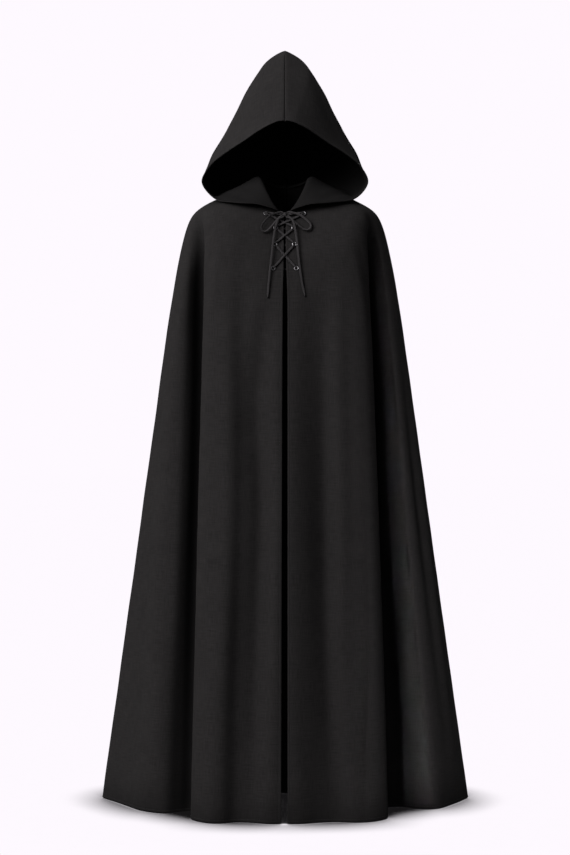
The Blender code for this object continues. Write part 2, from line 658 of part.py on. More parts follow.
def strand_stations(side):
    """Stations of the strand that starts inside the cloak and leaves every eyelet of one side outwards."""
    depth = NEAR_DEPTH if side < 0 else FAR_DEPTH
    middle_lift = OVER_LIFT if side < 0 else UNDER_LIFT
    flat = (LACE_WIDTH / 2, LACE_THICKNESS / 2)
    bunched = (LACE_BUNCHED, LACE_BUNCHED)
    stations = []

    def add(out, height, lift, facing, size):
        point, normal = over_front(out, height, lift)
        stations.append((point, normal * facing if isinstance(facing, int) else facing, *size))

    def between(start, end, share, lift, facing, size):
        out = start[0] + (end[0] - start[0]) * share
        height = start[1] + (end[1] - start[1]) * share
        add(out, height, lift, facing, size)

    def inside(start, end):
        """From one place to another behind the cloth."""
        between(start, end, INNER_BUNCHED, depth, -1, bunched)
        between(start, end, INNER_FLAT, depth, -1, flat)
        between(start, end, 1 - INNER_FLAT, depth, -1, flat)
        between(start, end, 1 - INNER_BUNCHED, depth, -1, bunched)

    def through(out, height, outwards, facing):
        """Through an eyelet, in or out."""
        lifts = (depth + DEPTH_RISE, *PASS_LIFTS)
        for lift in lifts if outwards else reversed(lifts):
            add(out, height, lift, facing, bunched)

    def outside(start, end):
        """From one place to another in front of the cloth."""
        length = math.dist(start, end)
        near = MOUTH_REACH / length
        wide = FLAT_REACH / length
        clear = SPAN_REACH / length
        crossing = start[0] / (start[0] - end[0])
        reach = SLIT_REACH / abs(start[0] - end[0])
        between(start, end, near, MOUTH_LIFT, 1, bunched)
        shares = {wide, crossing, 1 - wide}
        shares.update(share for share in (crossing - reach, crossing + reach) if clear < share < 1 - clear)
        for share in sorted(shares):
            lift = middle_lift if share == crossing else LACE_LIFT
            between(start, end, share, lift, 1, flat)
        between(start, end, 1 - near, MOUTH_LIFT, 1, bunched)

    place = EYELETS[0]
    add(side * SEAM_GAP / 2, place.height, depth, -1, flat)
    add(side * place.out * FIRST_FLAT, place.height, depth, -1, flat)
    add(side * place.out * FIRST_BUNCHED, place.height, depth, -1, bunched)
    out = (side * place.out, place.height)
    for upper in EYELETS[1:]:
        across = (-side * upper.out, upper.height - PASS_OFFSET)
        onward = Vector((across[0] - out[0], 0, across[1] - out[1])).normalized()
        through(*out, True, -onward)
        outside(out, across)
        through(*across, False, onward)
        out = (side * upper.out, upper.height + PASS_OFFSET)
        inside(across, out)
    through(*out, True, Vector((side, 0, 0)))
    knot = knot_stop(STRAND_EXIT, 0.0)
    end = (side * knot.out, knot.height)
    between(out, end, INNER_BUNCHED, MOUTH_LIFT, 1, bunched)
    between(out, end, INNER_FLAT, MOUTH_LIFT, 1, flat)
    between(out, end, TO_KNOT_SHARE, TO_KNOT_LIFT, 1, flat)
    for beyond, half_width in ((TO_KNOT_REACH, LACE_WIDTH / 2), (0.0, EXIT_HALF_WIDTH)):
        stop = knot_stop(STRAND_EXIT, beyond)
        add(side * stop.out, stop.height, stop.lift, 1, (half_width, LACE_THICKNESS / 2))
    return stations


def free_stations(side, stops, leave, back):
    """Stations of a free stretch of lace that leaves the knot and hangs, or comes back to it."""
    stops = [knot_stop(leave, 0.0), knot_stop(leave, LEAVE_REACH), *stops]
    if back:
        stops += [knot_stop(back, RETURN_REACH), knot_stop(back, 0.0)]
    tilt = side * LOOP_TILT if back else 0.0
    stations = []
    last = STATIONS_PER_STOP * (len(stops) - 1)
    for i in range(last + 1):
        places = [spline(stops, i / STATIONS_PER_STOP + step) for step in (-SLOPE_STEP, 0, SLOPE_STEP)]
        points = [over_front(side * stop.out, stop.height, stop.lift) for stop in places]
        middle, normal = points[1]
        sideways = (points[2][0] - points[0][0]).cross(normal).normalized()
        spread = min(1.0, i / WIDEN_STATIONS, (last - i) / WIDEN_STATIONS if back else 1.0)
        half_width = EXIT_HALF_WIDTH + (LACE_WIDTH / 2 - EXIT_HALF_WIDTH) * spread
        facing = normal * math.cos(tilt * spread) + sideways * math.sin(tilt * spread)
        stations.append((middle, facing, half_width, LACE_THICKNESS / 2))
    return stations


def build_lace(collection, material):
    """The lace: two crossing strands, the knot, the two loops and the two free ends of the bow."""
    for side, word in ((1, "left"), (-1, "right")):
        add_object(f"lace_{word}", lace_mesh(f"lace_{word}", strand_stations(side)), collection, material)
    for name, side, stops, leave, back in (
        ("bow_loop_right", -1, RIGHT_LOOP, LOOP_EXIT, LOOP_RETURN),
        ("bow_loop_left", 1, LEFT_LOOP, LOOP_EXIT, LOOP_RETURN),
        ("lace_end_right", -1, RIGHT_END, END_EXIT, None),
        ("lace_end_left", 1, LEFT_END, END_EXIT, None),
    ):
        add_object(name, lace_mesh(name, free_stations(side, stops, leave, back)), collection, material)
    middle, normal = over_front(KNOT_PLACE.out, KNOT_PLACE.height, KNOT_LIFT)
    ball = bmesh.new()
    bmesh.ops.create_uvsphere(ball, u_segments=KNOT_SEGMENTS, v_segments=KNOT_RINGS, radius=1.0)
    bmesh.ops.scale(ball, vec=KNOT_SIZE, verts=ball.verts)
    mesh = bpy.data.meshes.new("lace_knot")
    ball.to_mesh(mesh)
    ball.free()
    knot = add_object("lace_knot", mesh, collection, material)
    knot.location = middle
    knot.rotation_euler = normal.to_track_quat("Z", "Y").to_euler()


def build_cloak():
    """All the pieces of the cloak."""
    for thing in list(bpy.data.objects):
        bpy.data.objects.remove(thing, do_unlink=True)
    cloak = new_collection("wool_cloak")
    cutters = new_collection("cutters")
    wool = new_material("fulled_wool", FABRIC, FABRIC_ROUGHNESS)
    metal = new_material("blackened_metal", METAL, METAL_ROUGHNESS, 1.0)
    for side in (1, -1):
        build_front(side, cloak, cutters, wool.copy())
        build_back(side, cloak, wool.copy())
    build_hood(cloak, cutters, wool.copy())
    for side, word in ((1, "left"), (-1, "right")):
        for number, place in enumerate(EYELETS, 1):
            centre, normal = front_place(side, place.out, place.height)
            build_eyelet(f"eyelet_{word}_{number}", centre, normal, cloak, metal)
    build_lace(cloak, new_material("lace_cotton", CORD, CORD_ROUGHNESS))


build_cloak()
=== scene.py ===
"""Looks of a floor-length hooded cloak of fulled wool, laced at the neck.

Metres, +Z up.  The wearer faces -Y and the wearer's left is at +X.  The origin is in the middle of the
wearer's neck.  Heights in the tables are measured above the hem, as in the solids' own source.
"""
from __future__ import annotations

import logging
import math
from dataclasses import astuple, dataclass, field, replace
from enum import Enum
from typing import Iterable, Sequence

import bpy
import numpy as np
from bpy.types import ID, Material, Mesh, Node, NodeTree, Object
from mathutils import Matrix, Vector


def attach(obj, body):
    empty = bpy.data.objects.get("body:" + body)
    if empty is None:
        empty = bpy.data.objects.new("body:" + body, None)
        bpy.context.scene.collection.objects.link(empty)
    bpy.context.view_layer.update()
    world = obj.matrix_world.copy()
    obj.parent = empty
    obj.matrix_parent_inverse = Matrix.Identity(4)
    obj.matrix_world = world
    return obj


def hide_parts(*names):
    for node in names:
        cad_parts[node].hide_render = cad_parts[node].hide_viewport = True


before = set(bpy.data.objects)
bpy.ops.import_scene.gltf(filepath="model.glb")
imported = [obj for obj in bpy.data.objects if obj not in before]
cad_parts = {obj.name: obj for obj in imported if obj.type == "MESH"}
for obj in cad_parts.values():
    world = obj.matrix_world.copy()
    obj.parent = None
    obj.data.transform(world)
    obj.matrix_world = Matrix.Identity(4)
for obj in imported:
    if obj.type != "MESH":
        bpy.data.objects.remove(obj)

log = logging.getLogger("cloak")

Colour = tuple[float, float, float, float]
Points = np.ndarray
Pair = tuple[float, float]

MM = 0.001


class Side(Enum):
    """Which half of the cloak a piece is on, as the wearer sees it."""

    RIGHT = -1
    LEFT = 1

    @property
    def word(self) -> str:
        """The side's name in the names of pieces."""
        return self.name.lower()


# ---------------- colour and nodes
def linear(code: str) -> Colour:
    """Turns an sRGB hex colour into linear light.

    Args:
        code: six hex digits after a hash sign.

    Returns:
        Red, green, blue and an alpha of 1.
    """
    values = []
    for start in (1, 3, 5):
        value = int(code[start:start + 2], 16) / 255
        values.append(value / 12.92 if value <= 0.04045 else ((value + 0.055) / 1.055) ** 2.4)
    return (*values, 1.0)


def add_node(tree: NodeTree, kind: str, settings: dict | None = None,
             links: dict | None = None) -> Node:
    """Adds a node with its settings and links.

    Args:
        tree: the material's or the world's node tree.
        kind: the node's type name, without the word ShaderNode.
        settings: values by attribute name, or by input name or number.
        links: what feeds an input, by the input's name or number: an output socket, or a node for its first.

    Returns:
        The new node.
    """
    node = tree.nodes.new(f"ShaderNode{kind}")
    for key, value in (settings or {}).items():
        if isinstance(key, str) and hasattr(node, key):
            setattr(node, key, value)
        else:
            node.inputs[key].default_value = value
    for key, source in (links or {}).items():
        tree.links.new(source.outputs[0] if isinstance(source, Node) else source, node.inputs[key])
    return node


# ---------------- finishes
@dataclass(frozen=True)
class Finish:
    """What the finishes have in common: each has a name and adds a surface of its own."""

    name: str = "finish"

    def surface(self, tree: NodeTree) -> Node:
        """Adds the finish's own nodes to a tree and gives its shader."""
        raise NotImplementedError

    def build(self) -> Material:
        """Makes the finish's material.

        Returns:
            The material.
        """
        material = bpy.data.materials.new(self.name)
        material.use_nodes = True
        tree = material.node_tree
        tree.nodes.clear()
        add_node(tree, "OutputMaterial", links={"Surface": self.surface(tree)})
        return material


@dataclass(frozen=True)
class FulledWool(Finish):
    """Melton: a plain weave of woollen yarn, fulled and lightly brushed, then piece-dyed black.

    The eye gets a matt, nearly black face with a short nap, in which thicker yarns show as faint streaks
    down and across the cloth. Its colour is darker where the cloth is closed in, as in folds: painted shade.
    """

    name: str = "fulled_wool"
    # colours of the mottle; the darker one is reached only in the painted shade
    dark_and_shaded: str = "#121112"
    worn_and_unshaded: str = "#333132"
    slub: float = 1.9 * MM  # real yarns are 0.8 mm apart; drawn coarser so that they show
    slub_length: float = 34 * MM  # over which a yarn stays thick
    nap: float = 1.5 * MM  # real nap fibres are 0.02 mm thick; drawn in tufts so that they show
    cloud: float = 70 * MM  # size of the uneven patches that brushing leaves
    fold: float = 110 * MM  # reach of the painted shade: places closed in within it, as inside a fold, are painted darker
    nap_share: float = 0.6  # of the tufts in the mottle, beside the yarns
    cloud_share: float = 0.3  # of the patches
    roughness: float = 0.93
    specular: float = 0.10  # wool scatters most of its gloss in the nap
    sheen: float = 0.015
    sheen_roughness: float = 0.40

    def surface(self, tree: NodeTree) -> Node:
        """Adds the cloth's nodes, which read its own map: across it and down it in metres.

        Args:
            tree: the material's node tree.

        Returns:
            The shader.
        """
        place = add_node(tree, "TexCoord").outputs
        fine = 1 / self.slub
        long = 1 / self.slub_length
        streaks = []
        for scale in ((fine, long, 1.0), (long, fine, 1.0)):
            laid = add_node(tree, "Mapping", {"Scale": scale}, {"Vector": place["UV"]})
            streaks.append(add_node(tree, "TexNoise",
                                    {"noise_dimensions": "2D", "Scale": 1.0, "Detail": 2.0, "Roughness": 0.6},
                                    {"Vector": laid}))
        yarns = add_node(tree, "Math", {"operation": "ADD"}, dict(enumerate(streaks)))
        tufts = add_node(tree, "TexNoise",
                         {"Scale": 1 / self.nap, "Detail": 4.0, "Roughness": 0.65, "Distortion": 0.4},
                         {"Vector": place["Object"]})
        patches = add_node(tree, "TexNoise", {"Scale": 1 / self.cloud, "Detail": 2.0},
                           {"Vector": place["Object"]})
        nap = add_node(tree, "Math", {"operation": "MULTIPLY_ADD", 1: self.nap_share}, {0: tufts, 2: yarns})
        mottle = add_node(tree, "Math", {"operation": "MULTIPLY_ADD", 1: self.cloud_share},
                          {0: patches, 2: nap})
        tone = add_node(tree, "MapRange",
                        {"From Min": 0.95, "From Max": 1.95, "To Min": 0.28, "To Max": 0.86},
                        {"Value": mottle})
        # painted shade: the colour goes darker where the cloth is closed in, inside folds and pleats, under
        # the hood's rim and beside the laces
        openness_for_painted_shade = add_node(tree, "AmbientOcclusion", {"samples": 6, "Distance": self.fold}).outputs["AO"]
        painted_shade = add_node(tree, "MapRange", {"From Min": 0.3, "From Max": 0.92}, {"Value": openness_for_painted_shade})
        tone_with_painted_shade = add_node(tree, "Math", {"operation": "MULTIPLY"}, {0: tone, 1: painted_shade})
        colour = add_node(tree, "Mix", {"data_type": "RGBA", 6: linear(self.dark_and_shaded), 7: linear(self.worn_and_unshaded)},
                          {0: tone_with_painted_shade}).outputs[2]
        gloss = add_node(tree, "MapRange", {"To Min": self.roughness - 0.07, "To Max": self.roughness + 0.05},
                         {"Value": tufts})
        weave = add_node(tree, "Bump", {"Strength": 0.12, "Distance": 0.3 * MM}, {"Height": yarns})
        pile = add_node(tree, "Bump", {"Strength": 0.35, "Distance": 0.5 * MM},
                        {"Height": tufts, "Normal": weave})
        return add_node(tree, "BsdfPrincipled",
                        {"Specular IOR Level": self.specular, "IOR": 1.54, "Sheen Weight": self.sheen,
                         "Sheen Roughness": self.sheen_roughness},
                        {"Base Color": colour, "Roughness": gloss, "Normal": pile})


@dataclass(frozen=True)
class BlackNickel(Finish):
    """Brass pressed to shape, then plated with black nickel and tumbled.

    The eye gets a smoky grey metal with small bright glints along the rolled rim and fine rub marks.
    """

    name: str = "black_nickel"
    plate: str = "#77757a"
    rubbed: str = "#a5a3a8"
    scratch: float = 0.5 * MM  # spacing of the rub marks
    roughness: float = 0.3

    def surface(self, tree: NodeTree) -> Node:
        """Adds the plating's nodes.

        Args:
            tree: the material's node tree.

        Returns:
            The shader.
        """
        place = add_node(tree, "TexCoord").outputs["Object"]
        long = add_node(tree, "Mapping", {"Scale": (1.0, 1.0, 4.0)}, {"Vector": place})
        marks = add_node(tree, "TexNoise", {"Scale": 1 / self.scratch, "Detail": 4.0}, {"Vector": long})
        colour = add_node(tree, "Mix", {"data_type": "RGBA", 6: linear(self.plate), 7: linear(self.rubbed)},
                          {0: marks}).outputs[2]
        gloss = add_node(tree, "MapRange", {"To Min": self.roughness - 0.06, "To Max": self.roughness + 0.14},
                         {"Value": marks})
        dents = add_node(tree, "Bump", {"Strength": 0.12, "Distance": 0.1 * MM}, {"Height": marks})
        return add_node(tree, "BsdfPrincipled", {"Metallic": 1.0},
                        {"Base Color": colour, "Roughness": gloss, "Normal": dents})


@dataclass(frozen=True)
class BraidedCotton(Finish):
    """A flat lace braided from spun cotton and dyed black.

    The eye gets a matt strip with slanting plaits on both halves of its face and a fine fuzz.
    """

    name: str = "braided_cotton"
    low: str = "#1f1d1f"
    high: str = "#494649"
    plait: float = 1.7 * MM  # length of one plait along the lace
    fuzz: float = 0.4 * MM  # size of a tuft of loose fibre
    half_face: float = 0.25  # of a turn round the lace, from its edge to the middle of a face
    slant: float = 5.0  # plaits by which the braid would lean in a whole turn
    roughness: float = 0.88
    sheen: float = 0.03

    def surface(self, tree: NodeTree) -> Node:
        """Adds the lace's nodes, which read its own map: turns round it and metres along it.

        Args:
            tree: the material's node tree.

        Returns:
            The shader.
        """
        mapped = add_node(tree, "TexCoord").outputs["UV"]
        parts = add_node(tree, "SeparateXYZ", links={"Vector": mapped}).outputs
        across = add_node(tree, "Math", {"operation": "PINGPONG", 1: self.half_face}, {0: parts["X"]})
        slope = add_node(tree, "Math", {"operation": "MULTIPLY", 1: self.slant}, {0: across})
        along = add_node(tree, "Math", {"operation": "DIVIDE", 1: self.plait}, {0: parts["Y"]})
        phase = add_node(tree, "Math", {"operation": "ADD"}, {0: along, 1: slope})
        turn = add_node(tree, "Math", {"operation": "MULTIPLY", 1: 2 * math.pi}, {0: phase})
        plaits = add_node(tree, "Math", {"operation": "SINE"}, {0: turn})
        height = add_node(tree, "MapRange", {"From Min": -1.0}, {"Value": plaits})
        place = add_node(tree, "TexCoord").outputs["Object"]
        fuzz = add_node(tree, "TexNoise", {"Scale": 1 / self.fuzz, "Detail": 3.0}, {"Vector": place})
        # the grooves between the plaits are painted darker, as shade, and the fuzz adds random tone
        groove_shade_and_fuzz = add_node(tree, "Math", {"operation": "MULTIPLY"}, {0: height, 1: fuzz})
        tone = add_node(tree, "MapRange", {"From Max": 0.6}, {"Value": groove_shade_and_fuzz})
        colour = add_node(tree, "Mix", {"data_type": "RGBA", 6: linear(self.low), 7: linear(self.high)},
                          {0: tone}).outputs[2]
        braid = add_node(tree, "Bump", {"Strength": 0.8, "Distance": 0.35 * MM}, {"Height": height})
        soft = add_node(tree, "Bump", {"Strength": 0.3, "Distance": 0.1 * MM},
                        {"Height": fuzz, "Normal": braid})
        return add_node(tree, "BsdfPrincipled",
                        {"Roughness": self.roughness, "Specular IOR Level": 0.3, "IOR": 1.53,
                         "Sheen Weight": self.sheen, "Sheen Roughness": 0.5},
                        {"Base Color": colour, "Normal": soft})


@dataclass(frozen=True)
class SewingThread(Finish):
    """Spun polyester thread, two plies twisted together and dyed black.

    The eye gets short dark dashes with a faint twist, a little glossier than the wool.
    """

    name: str = "sewing_thread"
    low: str = "#0d0d0f"
    high: str = "#2a2a2d"
    twist: float = 0.8 * MM  # length of one turn of a ply; drawn longer so that it shows
    wave: float = 20.0  # the wave texture's own factor from lengths to angles
    roughness: float = 0.6

    def surface(self, tree: NodeTree) -> Node:
        """Adds the thread's nodes.

        Args:
            tree: the material's node tree.

        Returns:
            The shader.
        """
        place = add_node(tree, "TexCoord").outputs["Object"]
        scale = 1 / (self.wave * self.twist)
        plies = add_node(tree, "TexWave", {"Scale": scale, "bands_direction": "DIAGONAL", "Distortion": 0.5},
                         {"Vector": place}).outputs["Fac"]
        # the grooves between the plies are painted darker, as shade
        colour = add_node(tree, "Mix", {"data_type": "RGBA", 6: linear(self.low), 7: linear(self.high)},
                          {0: plies}).outputs[2]
        relief = add_node(tree, "Bump", {"Strength": 0.4, "Distance": 0.1 * MM}, {"Height": plies})
        return add_node(tree, "BsdfPrincipled", {"Roughness": self.roughness, "Specular IOR Level": 0.35},
                        {"Base Color": colour, "Normal": relief})


@dataclass(frozen=True)
class PaintedFloor(Finish):
    """A studio floor rolled with matt white emulsion and lit until it is as white as the wall behind it.

    The eye gets an even pale ground, with a soft painted shadow close under the hem
    and painted shade on the floor under the cloak.
    """

    name: str = "painted_floor"
    paint: str = "#fef9ff"
    shade: str = "#161516"
    reach: float = 140 * MM  # of the painted shadow, from what stands over the floor
    inside: float = 1.0  # wider than the cloak, so that the floor under it is painted in shade
    roller: float = 40 * MM  # the roller's stipple is 3 mm; drawn coarser so that it shows

    def surface(self, tree: NodeTree) -> Node:
        """Adds the floor's nodes.

        Args:
            tree: the material's node tree.

        Returns:
            The shader.
        """
        place = add_node(tree, "TexCoord").outputs["Object"]
        stipple = add_node(tree, "TexNoise", {"Scale": 1 / self.roller, "Detail": 3.0}, {"Vector": place})
        even = add_node(tree, "MapRange", {"To Min": 0.992, "To Max": 1.004}, {"Value": stipple})
        # painted shadow: the colour goes to the shade colour close under the hem and all over the floor under
        # the cloak
        open_sky = add_node(tree, "AmbientOcclusion", {"samples": 24, "Distance": self.reach}).outputs["AO"]
        close = add_node(tree, "MapRange", {"From Min": 0.5, "From Max": 0.96}, {"Value": open_sky})
        round_it = add_node(tree, "AmbientOcclusion", {"samples": 16, "Distance": self.inside}).outputs["AO"]
        outside = add_node(tree, "MapRange", {"From Min": 0.2, "From Max": 0.42}, {"Value": round_it})
        light = add_node(tree, "Math", {"operation": "MULTIPLY"}, {0: close, 1: outside})
        colour = add_node(tree, "Mix", {"data_type": "RGBA", 6: linear(self.shade), 7: linear(self.paint)},
                          {0: light}).outputs[2]
        return add_node(tree, "Emission", links={"Color": colour, "Strength": even})


# ---------------- curves
def through(rows: Points, at: Points) -> Points:
    """Reads a table at fractional rows, on a smooth curve through its rows.

    Args:
        rows: one line of values for each row.
        at: the fractional rows.

    Returns:
        One line of values for each entry of at.
    """
    last = len(rows) - 1
    at = np.clip(np.asarray(at, float), 0, last)
    first = np.minimum(at.astype(int), last - 1)
    t = (at - first)[:, None]
    b = rows[first]
    c = rows[first + 1]
    a = np.where((first > 0)[:, None], rows[np.maximum(first - 1, 0)], 2 * b - c)
    d = np.where((first + 2 <= last)[:, None], rows[np.minimum(first + 2, last)], 2 * c - b)
    return b + 0.5 * t * (c - a + t * (2 * a - 5 * b + 4 * c - d + t * (3 * (b - c) + d - a)))


def table(rows: Iterable[object]) -> Points:
    """The values of dataclass rows as an array."""
    return np.array([astuple(row) for row in rows], float)


def lengths_along(points: Points) -> Points:
    """The length of a line of points up to each of them."""
    return np.concatenate(([0.0], np.cumsum(np.linalg.norm(np.diff(points, axis=0), axis=1))))


def lengths_down(grid: Points) -> Points:
    """The length of each column of a grid of points up to each of them."""
    return np.stack([lengths_along(grid[:, k]) for k in range(grid.shape[1])], axis=1)


def unit(vectors: Points) -> Points:
    """Vectors at a length of 1, along the last axis."""
    return vectors / np.linalg.norm(vectors, axis=-1, keepdims=True)


def round_turn(count: int) -> Points:
    """Angles evenly spaced round a full turn."""
    return np.linspace(0, 2 * math.pi, count, endpoint=False)


def read_at(values: Points, marks: Points, places: Points | float) -> Points:
    """Reads rows of values, which stand at rising marks, at places between the marks."""
    return np.stack([np.interp(places, marks, values[:, k]) for k in range(values.shape[1])], axis=-1)


def respace(points: Points, places: Points) -> Points:
    """Reads a line of points at given lengths along it."""
    return read_at(points, lengths_along(points), places)


def smoothstep(value: Points | float, low: float, high: float) -> Points:
    """Rises smoothly from 0 at low to 1 at high."""
    t = np.clip((np.asarray(value, float) - low) / (high - low), 0.0, 1.0)
    return t * t * (3 - 2 * t)


# ---------------- the cloak's form
@dataclass(frozen=True)
class Section:
    """A level ring of the body between the neckline and the chest."""

    half_width: float
    front_depth: float
    front_height: float
    side_height: float
    back_depth: float
    back_height: float
    square: float
    fold: float


@dataclass(frozen=True)
class Fold:
    """A line down the cloth: its place on the yoke's rings and its plan places at the chest and the hem."""

    girth: float
    chest_x: float
    chest_y: float
    hem_x: float
    hem_y: float


@dataclass(frozen=True)
class Rib:
    """A rib of the hood's left half, from the face rim past the side to the middle of the back."""

    rim_x: float
    rim_y: float
    rim_height: float
    side_x: float
    side_y: float
    side_height: float
    back_y: float
    back_height: float


YOKE = (
    Section(0.0610, 0.0865, 1.505, 1.6000, 0.078, 1.590, 2.0, 0.00),    # neckline
    Section(0.0850, 0.0930, 1.492, 1.5890, 0.090, 1.577, 2.1, 0.00),
    Section(0.1300, 0.1040, 1.462, 1.5685, 0.106, 1.540, 2.3, 0.00),
    Section(0.1850, 0.1140, 1.425, 1.5435, 0.117, 1.490, 2.6, 0.02),
    Section(0.2250, 0.1215, 1.392, 1.5240, 0.123, 1.450, 2.8, 0.08),    # shoulder point
    Section(0.2435, 0.1255, 1.370, 1.5060, 0.126, 1.420, 2.9, 0.20),
    Section(0.2575, 0.1300, 1.345, 1.4680, 0.128, 1.385, 2.9, 0.42),
    Section(0.2740, 0.1345, 1.316, 1.4040, 0.130, 1.340, 2.8, 0.72),
    Section(0.2950, 0.1385, 1.280, 1.2800, 0.132, 1.280, 2.8, 1.00),    # chest
)
LEFT_FOLDS = (
    Fold(0.000, 0.0070, -0.1385, 0.0066, -0.2460),    # front edge
    Fold(0.100, 0.0340, -0.1385, 0.0400, -0.2450),
    Fold(0.210, 0.0700, -0.1345, 0.0860, -0.2320),    # shallow hollow
    Fold(0.320, 0.1080, -0.1350, 0.1290, -0.2270),
    Fold(0.430, 0.1460, -0.1350, 0.1730, -0.2310),    # broad swell
    Fold(0.540, 0.1800, -0.1280, 0.2110, -0.2220),
    Fold(0.640, 0.2030, -0.1140, 0.2400, -0.2020),
    Fold(0.710, 0.2125, -0.0950, 0.2550, -0.1780),    # rolled edge over the pleat
    Fold(0.755, 0.2050, -0.0740, 0.2470, -0.1380),
    Fold(0.790, 0.1990, -0.0580, 0.2370, -0.1000),    # floor of the pleat
    Fold(0.820, 0.2120, -0.0490, 0.2560, -0.0720),
    Fold(0.855, 0.2360, -0.0520, 0.2950, -0.0640),
    Fold(0.890, 0.2560, -0.0530, 0.3360, -0.0800),    # crest over the arm
    Fold(0.925, 0.2710, -0.0440, 0.3850, -0.0780),
    Fold(0.962, 0.2865, -0.0240, 0.4340, -0.0200),
    Fold(1.000, 0.2950, 0.0060, 0.4785, 0.0540),      # side seam
)
RIGHT_FOLDS = (
    Fold(0.000, -0.0055, -0.1385, -0.0090, -0.2460),  # front edge
    Fold(0.100, -0.0340, -0.1385, -0.0420, -0.2460),
    Fold(0.210, -0.0700, -0.1360, -0.0820, -0.2350),
    Fold(0.320, -0.1060, -0.1310, -0.1190, -0.2290),  # shallow hollow
    Fold(0.430, -0.1420, -0.1330, -0.1560, -0.2400),  # broad swell
    Fold(0.540, -0.1740, -0.1280, -0.1900, -0.2350),
    Fold(0.640, -0.1970, -0.1140, -0.2200, -0.2120),
    Fold(0.710, -0.2070, -0.0950, -0.2330, -0.1830),  # rolled edge over the pleat
    Fold(0.755, -0.1990, -0.0750, -0.2250, -0.1550),
    Fold(0.790, -0.1930, -0.0590, -0.2150, -0.1320),  # floor of the pleat
    Fold(0.820, -0.2060, -0.0500, -0.2320, -0.1130),
    Fold(0.855, -0.2310, -0.0540, -0.2660, -0.1210),
    Fold(0.890, -0.2530, -0.0550, -0.3060, -0.1290),  # crest over the arm
    Fold(0.925, -0.2700, -0.0450, -0.3620, -0.0980),
    Fold(0.962, -0.2855, -0.0240, -0.4240, -0.0150),
    Fold(1.000, -0.2945, 0.0060, -0.4760, 0.0540),    # side seam
)
BACK_FOLDS = (
    Fold(0.000, -0.2945, 0.0060, -0.4760, 0.0540),    # right side seam
    Fold(0.045, -0.2890, 0.0340, -0.4620, 0.1020),
    Fold(0.110, -0.2690, 0.0650, -0.4170, 0.1440),
    Fold(0.180, -0.2340, 0.0870, -0.3560, 0.1620),    # hollow
    Fold(0.250, -0.1950, 0.1080, -0.2960, 0.2020),    # flute
    Fold(0.310, -0.1560, 0.1140, -0.2380, 0.1960),    # hollow
    Fold(0.370, -0.1120, 0.1280, -0.1680, 0.2240),    # flute
    Fold(0.430, -0.0680, 0.1280, -0.1000, 0.2100),
    Fold(0.475, -0.0290, 0.1160, -0.0420, 0.1400),
    Fold(0.500, 0.0000, 0.1120, 0.0000, 0.1060),      # hollow in the middle
    Fold(0.525, 0.0270, 0.1160, 0.0400, 0.1400),
    Fold(0.575, 0.0680, 0.1280, 0.1020, 0.2140),      # flute
    Fold(0.640, 0.1120, 0.1250, 0.1600, 0.2180),
    Fold(0.700, 0.1500, 0.1150, 0.2120, 0.1900),      # hollow
    Fold(0.760, 0.1880, 0.1060, 0.2740, 0.2020),      # flute
    Fold(0.830, 0.2280, 0.0860, 0.3400, 0.1760),
    Fold(0.895, 0.2590, 0.0620, 0.3960, 0.1500),
    Fold(0.955, 0.2850, 0.0340, 0.4560, 0.1020),
    Fold(1.000, 0.2950, 0.0060, 0.4785, 0.0540),      # left side seam
)
HOOD_RIBS = (
    Rib(0.0118, -0.0868, 1.5055, 0.0612, 0.000, 1.6006, 0.0782, 1.5906),  # neck seam
    Rib(0.0220, -0.0985, 1.5105, 0.0720, 0.000, 1.6050, 0.0880, 1.5960),
    Rib(0.0655, -0.1050, 1.5225, 0.1080, 0.000, 1.5860, 0.1050, 1.5930),  # lower leaf, on the shoulder
    Rib(0.1150, -0.0960, 1.5280, 0.1480, 0.004, 1.5680, 0.1200, 1.5950),
    Rib(0.1750, -0.0600, 1.5400, 0.1800, 0.010, 1.5600, 0.1340, 1.6060),
    Rib(0.2125, -0.0450, 1.5860, 0.2100, 0.012, 1.5960, 0.1440, 1.6280),  # outer roll
    Rib(0.1900, -0.0600, 1.6270, 0.1920, 0.012, 1.6500, 0.1500, 1.6680),
    Rib(0.1525, -0.0880, 1.6540, 0.1650, 0.010, 1.7020, 0.1530, 1.7240),
    Rib(0.1080, -0.1130, 1.6770, 0.1330, 0.000, 1.7600, 0.1480, 1.7880),
    Rib(0.0600, -0.1360, 1.7060, 0.1010, -0.008, 1.8180, 0.1270, 1.8580),
    Rib(0.0290, -0.1470, 1.7200, 0.0715, -0.018, 1.8600, 0.0740, 1.9225),
    Rib(0.0150, -0.1490, 1.7245, 0.0520, -0.030, 1.8680, 0.0460, 1.9360),
    Rib(0.0000, -0.1500, 1.7260, 0.0000, -0.045, 1.8760, 0.0200, 1.9380),  # centre seam, over the head
)


